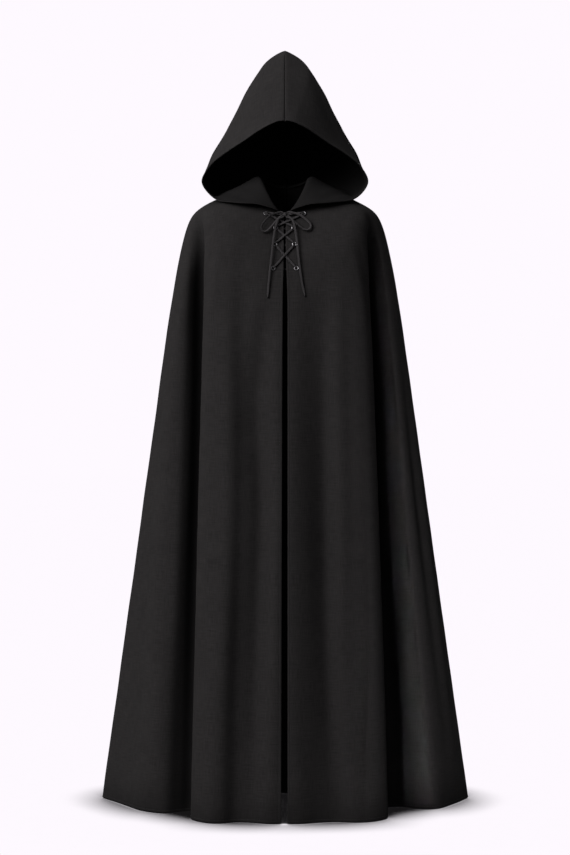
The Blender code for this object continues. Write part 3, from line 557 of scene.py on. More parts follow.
@dataclass(frozen=True)
class CloakForm:
    """The form that the cloth takes on a wearer, worked out as the solids are."""

    origin_height: float = 1.52  # of the origin above the hem
    chest_height: float = 1.28  # from here down every fold falls straight to the hem
    edge_at_neck: float = 0.0024  # from the middle to each front edge, at the neckline
    corner_girth: float = 0.082  # of the neckline in front of the hood's front corners
    level_girth: float = 0.08  # of a section, level beside its middle
    fall_rows: int = 4
    height_power: float = 1.2
    ring_steps: int = 40
    search_steps: int = 30
    search_start: Pair = (1.0, 3.0)  # column and row that a search starts from
    search_pace: float = 0.7  # of the way to the place that each step of it finds
    search_probe: float = 0.01
    stand_rows: float = 2.0  # ribs that are drawn to the neckline
    leaf_rows: float = 4.5  # ribs of the lower leaf, which rests on the shoulders
    leaf_rest: float = 0.0045
    neck_rest: float = 0.0007
    corner_rest: float = 0.0008  # more of it at the hood's front corners
    corner_share: float = 0.06  # of a rib, over which that fades
    back_middle: int = 9  # row of the back's fold table at the seam in the middle
    back_half: float = 0.5001  # girth just on the left of that seam
    yoke: Points = field(default_factory=lambda: table(YOKE))
    folds: dict = field(default_factory=lambda: {
        Side.LEFT: table(LEFT_FOLDS), Side.RIGHT: table(RIGHT_FOLDS), None: table(BACK_FOLDS)})
    ribs: Points = field(default_factory=lambda: table(HOOD_RIBS))

    @property
    def chest_row(self) -> int:
        """The yoke table's last row."""
        return len(self.yoke) - 1

    @property
    def hem_row(self) -> int:
        """The row at the hem."""
        return self.chest_row + self.fall_rows

    def quarter_ring(self, width: float, depth: float, square: float, share: Points) -> tuple[Points, Points]:
        """Reads a rounded quarter ring at shares of its length.

        Args:
            width: half the ring's width.
            depth: the ring's depth on this side.
            square: how square its corner is.
            share: places, from 0 on the depth axis to 1 on the width axis.

        Returns:
            The distances along the width and along the depth.
        """
        angle = np.linspace(0, math.pi / 2, self.ring_steps + 1)
        x = width * np.sin(angle) ** (2 / square)
        y = depth * np.maximum(np.cos(angle), 0) ** (2 / square)
        run = np.concatenate(([0.0], np.cumsum(np.hypot(np.diff(x), np.diff(y)))))
        return np.interp(share * run[-1], run, x), np.interp(share * run[-1], run, y)

    def rise(self, girth: Points) -> Points:
        """How far a section has risen towards the shoulder, at a girth from its middle."""
        share = np.clip((girth - self.level_girth) / (1 - self.level_girth), 0, 1)
        return np.sin(0.5 * math.pi * share) ** self.height_power

    def ring(self, side: Side | None, section: Points, girth: Points) -> Points:
        """Points of a panel on a yoke section.

        Args:
            side: the front's side, or None for the back.
            section: a row of the yoke table.
            girth: places on the panel.

        Returns:
            Plan places and heights.
        """
        half_width, front_depth, front_height, side_height, back_depth, back_height, square, _ = section
        if side:
            x, y = self.quarter_ring(half_width - self.edge_at_neck, front_depth, square, girth)
            height = front_height + (side_height - front_height) * self.rise(girth)
            return np.stack([side.value * (self.edge_at_neck + x), -y, height], axis=1)
        share = np.abs(1 - 2 * girth)
        x, y = self.quarter_ring(half_width, back_depth, square, share)
        height = back_height + (side_height - back_height) * self.rise(share)
        return np.stack([np.where(girth > 0.5, x, -x), y, height], axis=1)

    def body_line(self, side: Side | None, row: float, columns: Points) -> Points:
        """A row of points of a body panel's outer face.

        Args:
            side: the front's side, or None for the back.
            row: the row, in rows of the yoke and then of the fall.
            columns: places along the row, in rows of the panel's fold table.

        Returns:
            The points in the part's frame.
        """
        lines = through(self.folds[side], columns)
        girth = np.clip(lines[:, 0], 0.0, 1.0)
        section = through(self.yoke, np.array([min(row, self.chest_row)]))[0]
        points = self.ring(side, section, girth)
        chest = np.column_stack([lines[:, 1], lines[:, 2], np.full(len(lines), self.chest_height)])
        points = points + (chest - self.ring(side, self.yoke[-1], girth)) * section[-1]
        if row > self.chest_row:
            hem = np.column_stack([lines[:, 3], lines[:, 4], np.zeros(len(lines))])
            points = chest + (hem - chest) * (row - self.chest_row) / self.fall_rows
        return points - (0, 0, self.origin_height)

    def front_place(self, side: Side, out: float, height: float) -> tuple[Vector, Vector]:
        """Finds a place on a front.

        Args:
            side: the front.
            out: distance from the cloak's middle.
            height: height above the hem.

        Returns:
            The point on the cloth's outer face and the outward normal there.
        """
        column, row = self.search_start
        step = self.search_probe
        for _ in range(self.search_steps):
            columns = np.array([column, column + step])
            here, right = (Vector(point) for point in self.body_line(side, row, columns))
            below = Vector(self.body_line(side, row + step, np.array([column]))[0])
            across = (right - here) / step
            down = (below - here) / step
            miss_x = side.value * out - here.x
            miss_z = height - self.origin_height - here.z
            spread = across.x * down.z - across.z * down.x
            column = max(column + self.search_pace * (miss_x * down.z - miss_z * down.x) / spread, 0.0)
            row = max(row + self.search_pace * (across.x * miss_z - across.z * miss_x) / spread, 0.0)
        normal = across.cross(down).normalized()
        if normal.y > 0:
            normal.negate()
        return here, normal

    def yoke_height(self, x: Points, y: Points) -> Points:
        """Finds how high the cloth lies on the shoulders.

        Args:
            x: plan places across.
            y: plan places from front to back.

        Returns:
            Heights above the hem.
        """
        front = y < 0
        inner = np.where(front, self.edge_at_neck, 0.0)
        out = np.maximum(np.abs(x) - inner, 0.0)
        low = np.zeros(len(x))
        high = np.full(len(x), len(self.yoke) - 1.0)
        for _ in range(self.search_steps):
            row = (low + high) / 2
            section = through(self.yoke, row)
            width = section[:, 0] - inner
            depth = np.where(front, section[:, 1], section[:, 4])
            square = section[:, 6]
            beyond = (out / width) ** square + (np.abs(y) / depth) ** square > 1
            low = np.where(beyond, row, low)
            high = np.where(beyond, high, row)
        angle = np.arctan2((out / width) ** (square / 2), (np.abs(y) / depth) ** (square / 2))
        steps = np.linspace(0, 1, self.ring_steps + 1)[:, None]
        ring_x = width * np.sin(steps * math.pi / 2) ** (2 / square)
        ring_y = depth * np.maximum(np.cos(steps * math.pi / 2), 0) ** (2 / square)
        chords = np.hypot(np.diff(ring_x, axis=0), np.diff(ring_y, axis=0))
        run = np.vstack([np.zeros(len(x)), np.cumsum(chords, axis=0)])
        place = angle / (0.5 * math.pi) * self.ring_steps
        first = np.minimum(place.astype(int), self.ring_steps - 1)
        each = np.arange(len(x))
        length = run[first, each] + (run[first + 1, each] - run[first, each]) * (place - first)
        middle = np.where(front, section[:, 2], section[:, 5])
        return middle + (section[:, 3] - middle) * self.rise(length / run[-1])

    def rib_line(self, row: float, shares: Points) -> Points:
        """Lays out one rib of the hood's left half.

        Args:
            row: the rib, in rows of the rib table.
            shares: places, from 0 at the rim to 1 in the middle of the back.

        Returns:
            The points, with heights above the hem.
        """
        rib = through(self.ribs, np.array([row]))[0]
        rim = rib[0:3]
        side = rib[3:6]
        back = np.array([0.0, rib[6], rib[7]])
        angle = math.pi * np.clip(shares - 0.5, 0, 0.5)
        behind = np.column_stack([side[0] * np.cos(angle), side[1] + (back[1] - side[1]) * np.sin(angle),
                                  side[2] + (back[2] - side[2]) * np.sin(angle)])
        t = np.clip(2 * shares, 0, 1)[:, None]
        along = back - side
        along[0] = 0.0
        along = along / np.linalg.norm(along)
        first = rim + (side - rim) / 3
        last = side - along * np.linalg.norm(side - rim) / 3
        u = 1 - t
        before = u ** 3 * rim + 3 * t * u ** 2 * first + 3 * t * t * u * last + t ** 3 * side
        return np.where((shares >= 0.5)[:, None], behind, before)

    def neck_seam(self, shares: Points) -> Points:
        """Lays out the body's left neckline.

        Args:
            shares: places, from 0 at the front edge to 1 in the middle of the back.

        Returns:
            The points, with heights above the hem.
        """
        place = self.corner_girth + 2 * shares * (1 - self.corner_girth)
        before = self.ring(Side.LEFT, self.yoke[0], np.clip(place, 0, 1))
        behind = self.ring(None, self.yoke[0], np.clip(1.5 - shares, self.back_half, 1))
        return np.where((shares < 0.5)[:, None], before, behind)

    def hood_line(self, row: float, shares: Points) -> Points:
        """Lays out a row of the hood's left half, sewn to the neckline and resting on the shoulders.

        Args:
            row: the row, in rows of the rib table.
            shares: places, from 0 at the rim to 1 in the middle of the back.

        Returns:
            The points in the part's frame.
        """
        points = self.rib_line(row, shares)
        if row < self.stand_rows:
            points += (self.neck_seam(shares) - self.rib_line(0, shares)) * (1 - row / self.stand_rows)
        if row <= self.leaf_rows:
            rest = self.neck_rest + (self.leaf_rest - self.neck_rest) * min(row, 1.0)
            rest = rest + self.corner_rest * np.maximum(1 - shares / self.corner_share, 0)
            points[:, 2] = np.maximum(points[:, 2], self.yoke_height(points[:, 0], points[:, 1]) + rest)
        return points - (0, 0, self.origin_height)


# ---------------- cloth
class Border(Enum):
    """A border of a panel's grid of points."""

    FIRST_COLUMN = "first column"
    LAST_COLUMN = "last column"
    LAST_ROW = "last row"


@dataclass(frozen=True)
class Crease:
    """A soft trough or ridge, pressed into a panel along a line of places on it."""

    places: tuple[Pair, ...]  # column and height on the body, rib and share on the hood
    rise: float  # in mm, of its middle along the cloth's normal; negative for a trough
    reach: float  # in mm, from its middle to where it has mostly faded
    shoulder: float = 0.35  # of the opposite swell on each side of it, as a share of rise
    swell_place: float = 1.9  # of that swell's middle, in reaches
    swell_reach: float = 0.8  # in reaches
    run_on: float = 0.04  # share of its length by which its fading runs on past each end
    fading: float = 0.7  # power of the fading; less keeps it deep for longer

    def marks(self, count: int) -> Points:
        """Places on the crease's line, close together."""
        return through(np.array(self.places, float), np.linspace(0, len(self.places) - 1, count))

    def form(self, distance: Points, share: Points) -> Points:
        """How far the crease moves the cloth.

        Args:
            distance: from the crease's line.
            share: of the line's length.

        Returns:
            Distances along the normals.
        """
        fade = np.sin(math.pi * np.clip(self.run_on + (1 - 2 * self.run_on) * share, 0, 1)) ** self.fading
        wave = distance / (self.reach * MM)
        swell = np.exp(-((wave - self.swell_place) / self.swell_reach) ** 2)
        return self.rise * MM * (np.exp(-wave ** 2) - self.shoulder * swell) * fade


@dataclass(frozen=True)
class Edge:
    """A worked edge of a panel: a turned and stitched one, or a seam."""

    turned: float = 0.0  # width of the turned strip, or 0 for a seam
    swell: float = 0.35 * MM  # by which the doubled cloth stands proud
    swell_end: Pair = (-0.3 * MM, 2.0 * MM)  # where it falls off, from the stitches
    groove: float = 0.55 * MM  # depth of the line that the stitches pull in
    groove_reach: float = 0.8 * MM
    seam_dip: float = 0.0  # depth of the valley at a seam
    seam_reach: float = 3.5 * MM
    seam_stops: tuple[float, ...] = (0.0, 1.2, 2.6, 4.4)  # of the mesh, in mm from a seam
    strip_stops: tuple[float, ...] = (0.0, 0.3, 0.62)  # of the mesh, in shares of the turned strip
    stitch_stops: tuple[float, ...] = (-1.1, -0.5, 0.0, 0.5, 1.2, 2.6)  # in mm from the stitches

    def relief(self, distance: Points) -> Points:
        """How far the cloth stands out.

        Args:
            distance: from the edge.

        Returns:
            Distances along the normals.
        """
        dip = -self.seam_dip * np.exp(-distance / self.seam_reach)
        if not self.turned:
            return dip
        start, end = self.swell_end
        band = self.swell * (1 - smoothstep(distance, self.turned + start, self.turned + end))
        return dip + band - self.groove * np.exp(-((distance - self.turned) / self.groove_reach) ** 2)

    def stops(self) -> list[float]:
        """Where the mesh needs lines so as to show the relief.

        Returns:
            Distances from the edge.
        """
        if not self.turned:
            return [stop * MM for stop in self.seam_stops]
        strip = [share * self.turned for share in self.strip_stops]
        return strip + [self.turned + stop * MM for stop in self.stitch_stops]


def between_edges(line: Points, first: Edge, last: Edge, count: int) -> Points:
    """Respaces a line of points, fine at both of its worked edges and even between them.

    Args:
        line: the points.
        first: the edge at its start.
        last: the edge at its end.
        count: how many points it gets.

    Returns:
        The new points.
    """
    length = lengths_along(line)[-1]
    head = first.stops()
    tail = [length - stop for stop in reversed(last.stops())]
    even = np.linspace(head[-1], tail[0], count - len(head) - len(tail) + 2)[1:-1]
    return respace(line, np.concatenate([head, even, tail]))


def grid_normals(grid: Points, outward: Sequence[float]) -> Points:
    """Unit normals of a grid of points.

    Args:
        grid: rows and columns of points.
        outward: a direction that most of the cloth's outer face looks in.

    Returns:
        The normals on the outer face.
    """
    normal = np.cross(np.gradient(grid, axis=1), np.gradient(grid, axis=0))
    if normal.sum(axis=(0, 1)) @ np.array(outward) < 0:
        normal = -normal
    return normal / np.maximum(np.linalg.norm(normal, axis=2, keepdims=True), 1e-12)


def steady_corner(normal: Points, size: int = 9, rounds: int = 30) -> Points:
    """Evens out the normals near the last row's end, where two edges may meet in one straight line.

    Args:
        normal: a grid of unit normals, which is changed.
        size: rows and columns from the corner that change.
        rounds: how often each takes the mean of its neighbours.

    Returns:
        The same grid.
    """
    for _ in range(rounds):
        padded = np.pad(normal, ((0, 1), (0, 1), (0, 0)), mode="edge")
        mean = (padded[-size - 2:-2, -size - 1:-1] + padded[-size:, -size - 1:-1]
                + padded[-size - 1:-1, -size - 2:-2] + padded[-size - 1:-1, -size:]) / 4
        normal[-size:, -size:] = unit(mean)
    return normal


def soften(grid: Points, first: int, last: int, rounds: int) -> Points:
    """Rounds off kinks down the columns of a grid.

    Args:
        grid: rows and columns of points.
        first: the first row that may move.
        last: the row after the last that may move.
        rounds: how often each point goes half way to the mean of its neighbours.

    Returns:
        The changed grid.
    """
    for _ in range(rounds):
        mean = (grid[first - 1:last - 1] + grid[first + 1:last + 1]) / 2
        grid[first:last] = (grid[first:last] + mean) / 2
    return grid


def new_mesh(name: str, points: Sequence, faces: Sequence) -> Mesh:
    """Makes a smooth mesh.

    Args:
        name: its name.
        points: its vertices.
        faces: the numbers of the vertices round each face.

    Returns:
        The mesh.
    """
    mesh = bpy.data.meshes.new(name)
    mesh.from_pydata(points, [], faces)
    mesh.shade_smooth()
    mesh.update()
    return mesh


def new_object(name: str, data: ID) -> Object:
    """Adds an object to the scene.

    Args:
        name: its name.
        data: its mesh, light or camera.

    Returns:
        The object.
    """
    item = bpy.data.objects.new(name, data)
    bpy.context.scene.collection.objects.link(item)
    return item


def mesh_from_grid(name: str, grid: Points, outward: Sequence[float] | None = None,
                   capped: bool = False) -> Mesh:
    """Makes a mesh from a grid of points and maps it.

    A sheet's map runs in metres from its first column and its last row, and a ring's in turns and metres.

    Args:
        name: the mesh's name.
        grid: rows and columns of points.
        outward: a direction that most of a sheet's outer face looks in, or None where each row is a ring.
        capped: whether the first and the last ring are closed.

    Returns:
        The mesh.
    """
    rows, columns = grid.shape[:2]
    index = np.arange(rows * columns).reshape(rows, columns)
    right = np.roll(index, -1, axis=1)
    used = slice(0, columns - 1 if outward else columns)
    corners = [index[:-1, used], right[:-1, used], right[1:, used], index[1:, used]]
    faces = np.stack(corners, axis=-1).reshape(-1, 4)
    flat = grid.reshape(-1, 3)
    along = lengths_down(grid)
    around = np.tile(np.arange(columns) / columns, (rows, 1))
    if outward:
        normal = np.cross(flat[faces[:, 1]] - flat[faces[:, 0]], flat[faces[:, 3]] - flat[faces[:, 0]])
        if normal.sum(axis=0) @ np.array(outward) < 0:
            faces = faces[:, ::-1]
        along = along[-1:] - along
        around = np.stack([lengths_along(line) for line in grid])
    caps = [index[0, ::-1].tolist(), index[-1].tolist()] if capped else []
    mesh = new_mesh(name, flat.tolist(), faces.tolist() + caps)
    loops = np.empty(len(mesh.loops), dtype=np.int64)
    mesh.loops.foreach_get("vertex_index", loops)
    where = np.column_stack([around.reshape(-1)[loops], along.reshape(-1)[loops]])
    where[faces.size:] = (0.5, 0.0)
    mesh.uv_layers.new(name="run").data.foreach_set("uv", where.reshape(-1).astype(np.float32))
    return mesh


def add_piece(name: str, mesh: Mesh, material: Material,
              replaced: Sequence[str] = ()) -> Object:
    """Adds a piece of the cloak to the scene and to the frame.

    Args:
        name: the piece's name.
        mesh: its mesh.
        material: its finish.
        replaced: solids that the piece stands for.

    Returns:
        The object.
    """
    mesh.materials.append(material)
    piece = new_object(name, mesh)
    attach(piece, "root")
    if replaced:
        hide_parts(*replaced)
    log.info("%s: %d vertices", name, len(mesh.vertices))
    return piece


@dataclass(frozen=True)
class Cloth:
    """The finishes of the brushed face, of the inside, drawn darker as painted shade, and of the thread."""

    face: Material
    inside: Material
    thread: Material


@dataclass
class ClothPanel:
    """A panel of the cloak: a thin shell on its solid's form, with worked edges and creases."""

    name: str
    node: str
    grid: Points  # of the outer face, before its relief
    first_column: Edge
    last_column: Edge
    first_row: Edge
    last_row: Edge
    outward: tuple[float, float, float]
    creases: list[tuple[Points, Crease]]
    middle: tuple[Border, ...]  # its borders on the cloak's middle plane
    lapped: tuple[Border, ...]  # its borders that run on under the neighbouring panel
    lap: float = 5 * MM
    lap_depth: float = 1.2  # of the turning under the neighbour, in walls
    wall: float = 2.2 * MM
    rounding: float = 0.7 * MM  # of the cut edges
    sharp: float = math.radians(60)  # edges that turn by more than this are rounded
    unevenness: float = 0.5 * MM
    waves: int = 7  # that add up to the unevenness
    wave_lengths: Pair = (0.05, 0.16)
    upright: float = 0.35  # how much of a wave runs up and down, beside 1 for across
    seed: int = 5

    def edge_distances(self) -> tuple[Points, Points, Points, Points]:
        """How far every point is from each of the panel's edges.

        Returns:
            The distances from the left, right, upper and lower edges.
        """
        across = np.stack([lengths_along(line) for line in self.grid])
        down = lengths_down(self.grid)
        return across, across[:, -1:] - across, down, down[-1:] - down

    def drape(self) -> Points:
        """Presses the creases, the worked edges and a slight unevenness into the grid.

        Returns:
            The points of the panel's outer face.
        """
        normal = steady_corner(grid_normals(self.grid, self.outward))
        moved = np.zeros(self.grid.shape[:2])
        for line, crease in self.creases:
            moved += self.press(line, crease)
        moved += self.ripple()
        edges = (self.first_column, self.last_column, self.first_row, self.last_row)
        worked = sum(edge.relief(distance) for edge, distance in zip(edges, self.edge_distances()))
        moved += np.maximum(worked, -max(edge.seam_dip for edge in edges) - self.first_column.groove)
        face = self.grid + normal * moved[..., None]
        ends = {Border.FIRST_COLUMN: face[:, 0], Border.LAST_COLUMN: face[:, -1], Border.LAST_ROW: face[-1]}
        for border in self.middle:
            ends[border][:, 0] = 0.0
        return face

    def with_laps(self, face: Points) -> Points:
        """Adds the turnings that run on under the neighbouring panels, one more column or row for each.

        Args:
            face: the points of the outer face.

        Returns:
            The points with the turnings.
        """
        normal = steady_corner(grid_normals(face, self.outward))
        over = np.array([-math.copysign(self.lap, face[:, :, 0].sum()), 0.0, 0.0])
        if Border.LAST_COLUMN in self.lapped:
            way = over if self.middle else self.lap * unit(face[:, -1] - face[:, -2])
            strip = face[:, -1] + way - normal[:, -1] * self.lap_depth * self.wall
            face = np.concatenate([face, strip[:, None]], axis=1)
            normal = np.concatenate([normal, normal[:, -1:]], axis=1)
        if Border.LAST_ROW in self.lapped:
            face = np.concatenate([face, (face[-1] + over - normal[-1] * self.lap_depth * self.wall)[None]])
        return face

    def press(self, line: Points, crease: Crease) -> Points:
        """How far one crease moves each point.

        Args:
            line: points along the crease's middle.
            crease: its size.

        Returns:
            Distances along the normals.
        """
        flat = self.grid.reshape(-1, 3)
        nearest = np.full(len(flat), np.inf)
        place = np.zeros(len(flat))
        pieces = len(line) - 1
        for i in range(pieces):
            start = line[i]
            way = line[i + 1] - start
            t = np.clip((flat - start) @ way / (way @ way), 0, 1)
            gap = np.linalg.norm(flat - start - t[:, None] * way, axis=1)
            closer = gap < nearest
            nearest = np.where(closer, gap, nearest)
            place = np.where(closer, (i + t) / pieces, place)
        return crease.form(nearest, place).reshape(self.grid.shape[:2])

    def ripple(self) -> Points:
        """A slight unevenness of the cloth, the sum of a few long waves in seeded directions.

        Returns:
            Distances along the normals.
        """
        draw = np.random.default_rng(self.seed)
        total = np.zeros(self.grid.shape[:2])
        for _ in range(self.waves):
            way = draw.normal(size=3) * (1.0, 1.0, self.upright)
            way *= 2 * math.pi / (draw.uniform(*self.wave_lengths) * np.linalg.norm(way))
            total += np.sin(self.grid @ way + draw.uniform(0, 2 * math.pi))
        return total * self.unevenness / math.sqrt(self.waves)

    def build(self, cloth: Cloth) -> tuple[Object, Points]:
        """Makes the panel.

        Args:
            cloth: the finishes of its two faces.

        Returns:
            The object and the points of its outer face.
        """
        face = self.drape()
        mesh = mesh_from_grid(self.name, self.with_laps(face), self.outward)
        piece = add_piece(self.name, mesh, cloth.face, (self.node,))
        # the inner faces take the darker copy of the wool: painted shade
        mesh.materials.append(cloth.inside)
        shell = piece.modifiers.new("wall", "SOLIDIFY")
        shell.thickness = self.wall
        shell.offset = -1.0
        shell.use_rim = True
        shell.material_offset = 1
        rounding = piece.modifiers.new("soft_edge", "BEVEL")
        rounding.width = self.rounding
        rounding.segments = 2
        rounding.limit_method = "ANGLE"
        rounding.angle_limit = self.sharp
        return piece, face


@dataclass(frozen=True)
class Topstitch:
    """A row of machine stitches."""

    length: float = 3.4 * MM
    gap: float = 0.9 * MM
    radius: float = 0.32 * MM
    sides: int = 6
    lift: float = 0.35  # of the thread's middle above the cloth, in radii
    profile: tuple[tuple[float, float, float], ...] = (  # place along a stitch, thickness and depth
        (0.0, 0.25, 1.4), (0.16, 0.85, 0.35), (0.5, 1.0, 0.0), (0.84, 0.85, 0.35), (1.0, 0.25, 1.4))

    def stitch(self, start: float, run: Points, line: Points, normals: Points) -> list[Points]:
        """Lays out one stitch.

        Args:
            start: where it starts along the row.
            run: the row's length up to each of its points.
            line: the row's points.
            normals: the cloth's normals there.

        Returns:
            The stitch's points, ring after ring.
        """
        points = []
        for share, thick, depth in self.profile:
            at = start + share * self.length
            middle = read_at(line, run, at)
            along = read_at(line, run, at + self.radius) - middle
            across = np.cross(along, read_at(normals, run, at))
            across /= np.linalg.norm(across)
            up = np.cross(across, along)
            up /= np.linalg.norm(up)
            middle = middle + up * self.radius * (self.lift - depth)
            for turn in round_turn(self.sides):
                spoke = across * math.cos(turn) + up * math.sin(turn)
                points.append(middle + self.radius * thick * spoke)
        return points

    def mesh(self, name: str, lines: Sequence[tuple[Points, Points]]) -> Mesh:
        """Makes the stitches.

        Args:
            name: the mesh's name.
            lines: for each row of stitches its points and the cloth's normals there.

        Returns:
            The mesh of all of them.
        """
        points = []
        faces = []
        for line, normals in lines:
            run = lengths_along(line)
            for start in np.arange(self.gap, run[-1] - self.length - self.gap, self.length + self.gap):
                first = len(points)
                points += self.stitch(start, run, line, normals)
                for low in range(first, len(points) - self.sides, self.sides):
                    high = low + self.sides
                    for j in range(self.sides):
                        k = (j + 1) % self.sides
                        faces.append((low + j, low + k, high + k, high + j))
                faces.append(tuple(range(first + self.sides - 1, first - 1, -1)))
                faces.append(tuple(range(len(points) - self.sides, len(points))))
        return new_mesh(name, points, faces)


@dataclass
class Body:
    """The two fronts and the back's two halves, with their turned edges and hem."""

    form: CloakForm
    front_columns: int = 112
    back_columns: int = 92
    yoke_lines: int = 58
    fall_lines: int = 200
    dense: int = 8  # samples for each column of a fold table
    firm_lines: int = 3  # at the neckline, which the softening leaves alone
    eased_lines: int = 26  # below the chest, which it reaches
    chest_softening: int = 60
    hem_lines: int = 4  # whose place the hem's own lines take
    crease_marks: int = 16
    stitch_line: int = 6  # below the neckline, where the front edges' stitches start
    front_flat: Pair = (0.69, 1.74)  # width and length of the cloth that it is cut from
    back_flat: Pair = (0.60, 1.74)
    front_area: float = 0.86  # in square metres
    back_area: float = 0.72
    front_edge: Edge = Edge(turned=6.5 * MM)
    hem: Edge = Edge(turned=6.0 * MM, swell=0.25 * MM, groove=0.4 * MM)
    seam: Edge = Edge(seam_dip=1.1 * MM)
    neck: Edge = Edge(seam_dip=0.4 * MM)
    left_creases: tuple[Crease, ...] = (
        Crease(((2.5, 1.26), (2.6, 1.03), (2.6, 0.78), (2.6, 0.52), (2.8, 0.28), (2.9, 0.02)), -13, 31, 0.1),
        Crease(((0.2, 1.20), (0.2, 1.00), (0.2, 0.70), (0.2, 0.40), (0.3, 0.05)), 7, 24, 0.0),
        Crease(((3.6, 1.30), (3.4, 1.05), (3.4, 0.70), (3.3, 0.35), (3.4, 0.04)), 4, 17, 0.3),
        Crease(((5.7, 1.34), (5.7, 1.05), (5.8, 0.70), (5.8, 0.35), (5.9, 0.02)), 10, 32, 0.0),
        Crease(((5.6, 1.42), (6.2, 1.33), (6.6, 1.22)), -2.4, 12),
        Crease(((8.4, 1.44), (9.2, 1.32), (9.6, 1.12), (9.6, 0.80), (9.7, 0.45), (9.8, 0.02)), -16, 17, 0.0),
        Crease(((10.5, 0.64), (10.7, 0.42), (10.9, 0.22), (11.1, 0.02)), -17, 25, 0.0),
        Crease(((12.0, 1.38), (11.9, 1.10), (11.9, 0.80), (11.9, 0.45), (12.1, 0.02)), 8, 42, 0.0),
        Crease(((13.9, 1.25), (13.8, 0.95), (13.9, 0.60), (14.0, 0.15)), -3.5, 18),
    )
    right_creases: tuple[Crease, ...] = (
        Crease(((1.4, 1.24), (1.9, 1.03), (1.6, 0.78), (1.75, 0.52), (1.9, 0.28), (2.0, 0.02)), -16, 26, 0.1),
        Crease(((3.9, 1.26), (3.8, 1.03), (3.6, 0.78), (3.8, 0.52), (4.1, 0.28), (4.2, 0.02)), 9, 26, 0.1),
        Crease(((0.4, 1.20), (0.4, 1.00), (0.4, 0.70), (0.4, 0.40), (0.5, 0.05)), 4, 20, 0.0),
        Crease(((5.5, 1.42), (6.0, 1.34), (6.5, 1.20)), -2.2, 12),
        Crease(((8.6, 1.44), (9.8, 1.36), (9.9, 1.28), (9.5, 1.03), (9.6, 0.78), (9.9, 0.52), (9.8, 0.02)),
               -27, 29, 0.0),
        Crease(((12.7, 0.48), (12.5, 0.26), (12.4, 0.02)), 8, 30, 0.1),
        Crease(((13.0, 1.36), (13.2, 1.10), (13.2, 0.80), (13.1, 0.45), (13.1, 0.02)), 8, 26, 0.1),
    )
    back_creases: tuple[Crease, ...] = (
        Crease(((2.2, 1.30), (2.4, 1.10), (2.6, 0.75), (2.7, 0.35), (2.7, 0.02)), 7, 30, 0.1),
        Crease(((4.6, 1.34), (4.8, 1.05), (4.9, 0.60), (5.0, 0.02)), -11, 27, 0.1),
        Crease(((7.0, 1.36), (7.1, 1.05), (6.9, 0.60), (6.8, 0.02)), 8, 30, 0.1),
        Crease(((8.5, 1.22), (8.3, 0.90), (8.2, 0.50), (8.2, 0.02)), -6, 22, 0.1),
        Crease(((10.3, 1.38), (10.2, 1.05), (10.3, 0.60), (10.4, 0.02)), 9, 28, 0.1),
        Crease(((12.8, 1.36), (13.0, 1.00), (12.9, 0.55), (12.8, 0.02)), -12, 28, 0.1),
        Crease(((15.2, 1.34), (15.3, 1.10), (15.4, 0.75), (15.6, 0.02)), 8, 30, 0.1),
        Crease(((16.8, 1.20), (16.9, 0.90), (17.0, 0.50), (17.0, 0.02)), -5, 24, 0.1),
    )

    def base(self, side: Side | None) -> tuple[Points, Points]:
        """The smooth form of a panel.

        Args:
            side: the front's side, or None for the back.

        Returns:
            Rows of densely spaced points, and the columns that they stand at.
        """
        count = (len(self.form.folds[side]) - 1) * self.dense + 1
        columns = np.arange(count) / self.dense
        chest = self.form.chest_row
        rows = np.concatenate([np.linspace(0, chest, self.yoke_lines),
                               np.linspace(chest, self.form.hem_row, self.fall_lines + 1)[1:]])
        grid = np.stack([self.form.body_line(side, row, columns) for row in rows])
        last = self.yoke_lines + self.eased_lines
        return soften(grid, self.firm_lines, last, self.chest_softening), columns

    def crease_line(self, grid: Points, columns: Points, crease: Crease) -> Points:
        """Finds the points on a panel that a crease runs through.

        Args:
            grid: rows of the panel's points.
            columns: the columns that they stand at.
            crease: the crease.

        Returns:
            The points, close together.
        """
        line = []
        for column, height in crease.marks(self.crease_marks):
            strip = np.stack([read_at(row, columns, column) for row in grid])
            line.append(read_at(strip, -strip[:, 2], self.form.origin_height - height))
        return np.array(line)

    def panel(self, side: Side, back: bool) -> ClothPanel:
        """Lays out a body panel.

        Args:
            side: which half of the cloak it is on.
            back: whether it is at the back.

        Returns:
            The panel, not yet built.
        """
        dense, columns = self.base(None if back else side)
        front_creases = self.left_creases if side is Side.LEFT else self.right_creases
        pressed = [(self.crease_line(dense, columns, crease), crease)
                   for crease in (self.back_creases if back else front_creases)]
        if back:
            middle = self.form.back_middle * self.dense
            dense = dense[:, middle:] if side is Side.LEFT else dense[:, :middle + 1]
        count = self.back_columns if back else self.front_columns
        first = self.seam if back else self.front_edge
        grid = np.stack([between_edges(line, first, self.seam, count) for line in dense])
        tail = np.array(self.hem.stops()[::-1])
        ends = [respace(grid[:, k], lengths_along(grid[:, k])[-1] - tail) for k in range(count)]
        grid = np.concatenate([grid[:-self.hem_lines], np.stack(ends, axis=1)])
        name = f"{'back' if back else 'front'}_{side.word}"
        middle = (Border.FIRST_COLUMN if side is Side.LEFT else Border.LAST_COLUMN,) if back else ()
        lapped = () if back and side is Side.LEFT else (Border.LAST_COLUMN,)
        return ClothPanel(f"cloth_{name}", name, grid, first, self.seam, self.neck, self.hem,
                          (0, 1, 0) if back else (0, -1, 0), pressed, middle, lapped)

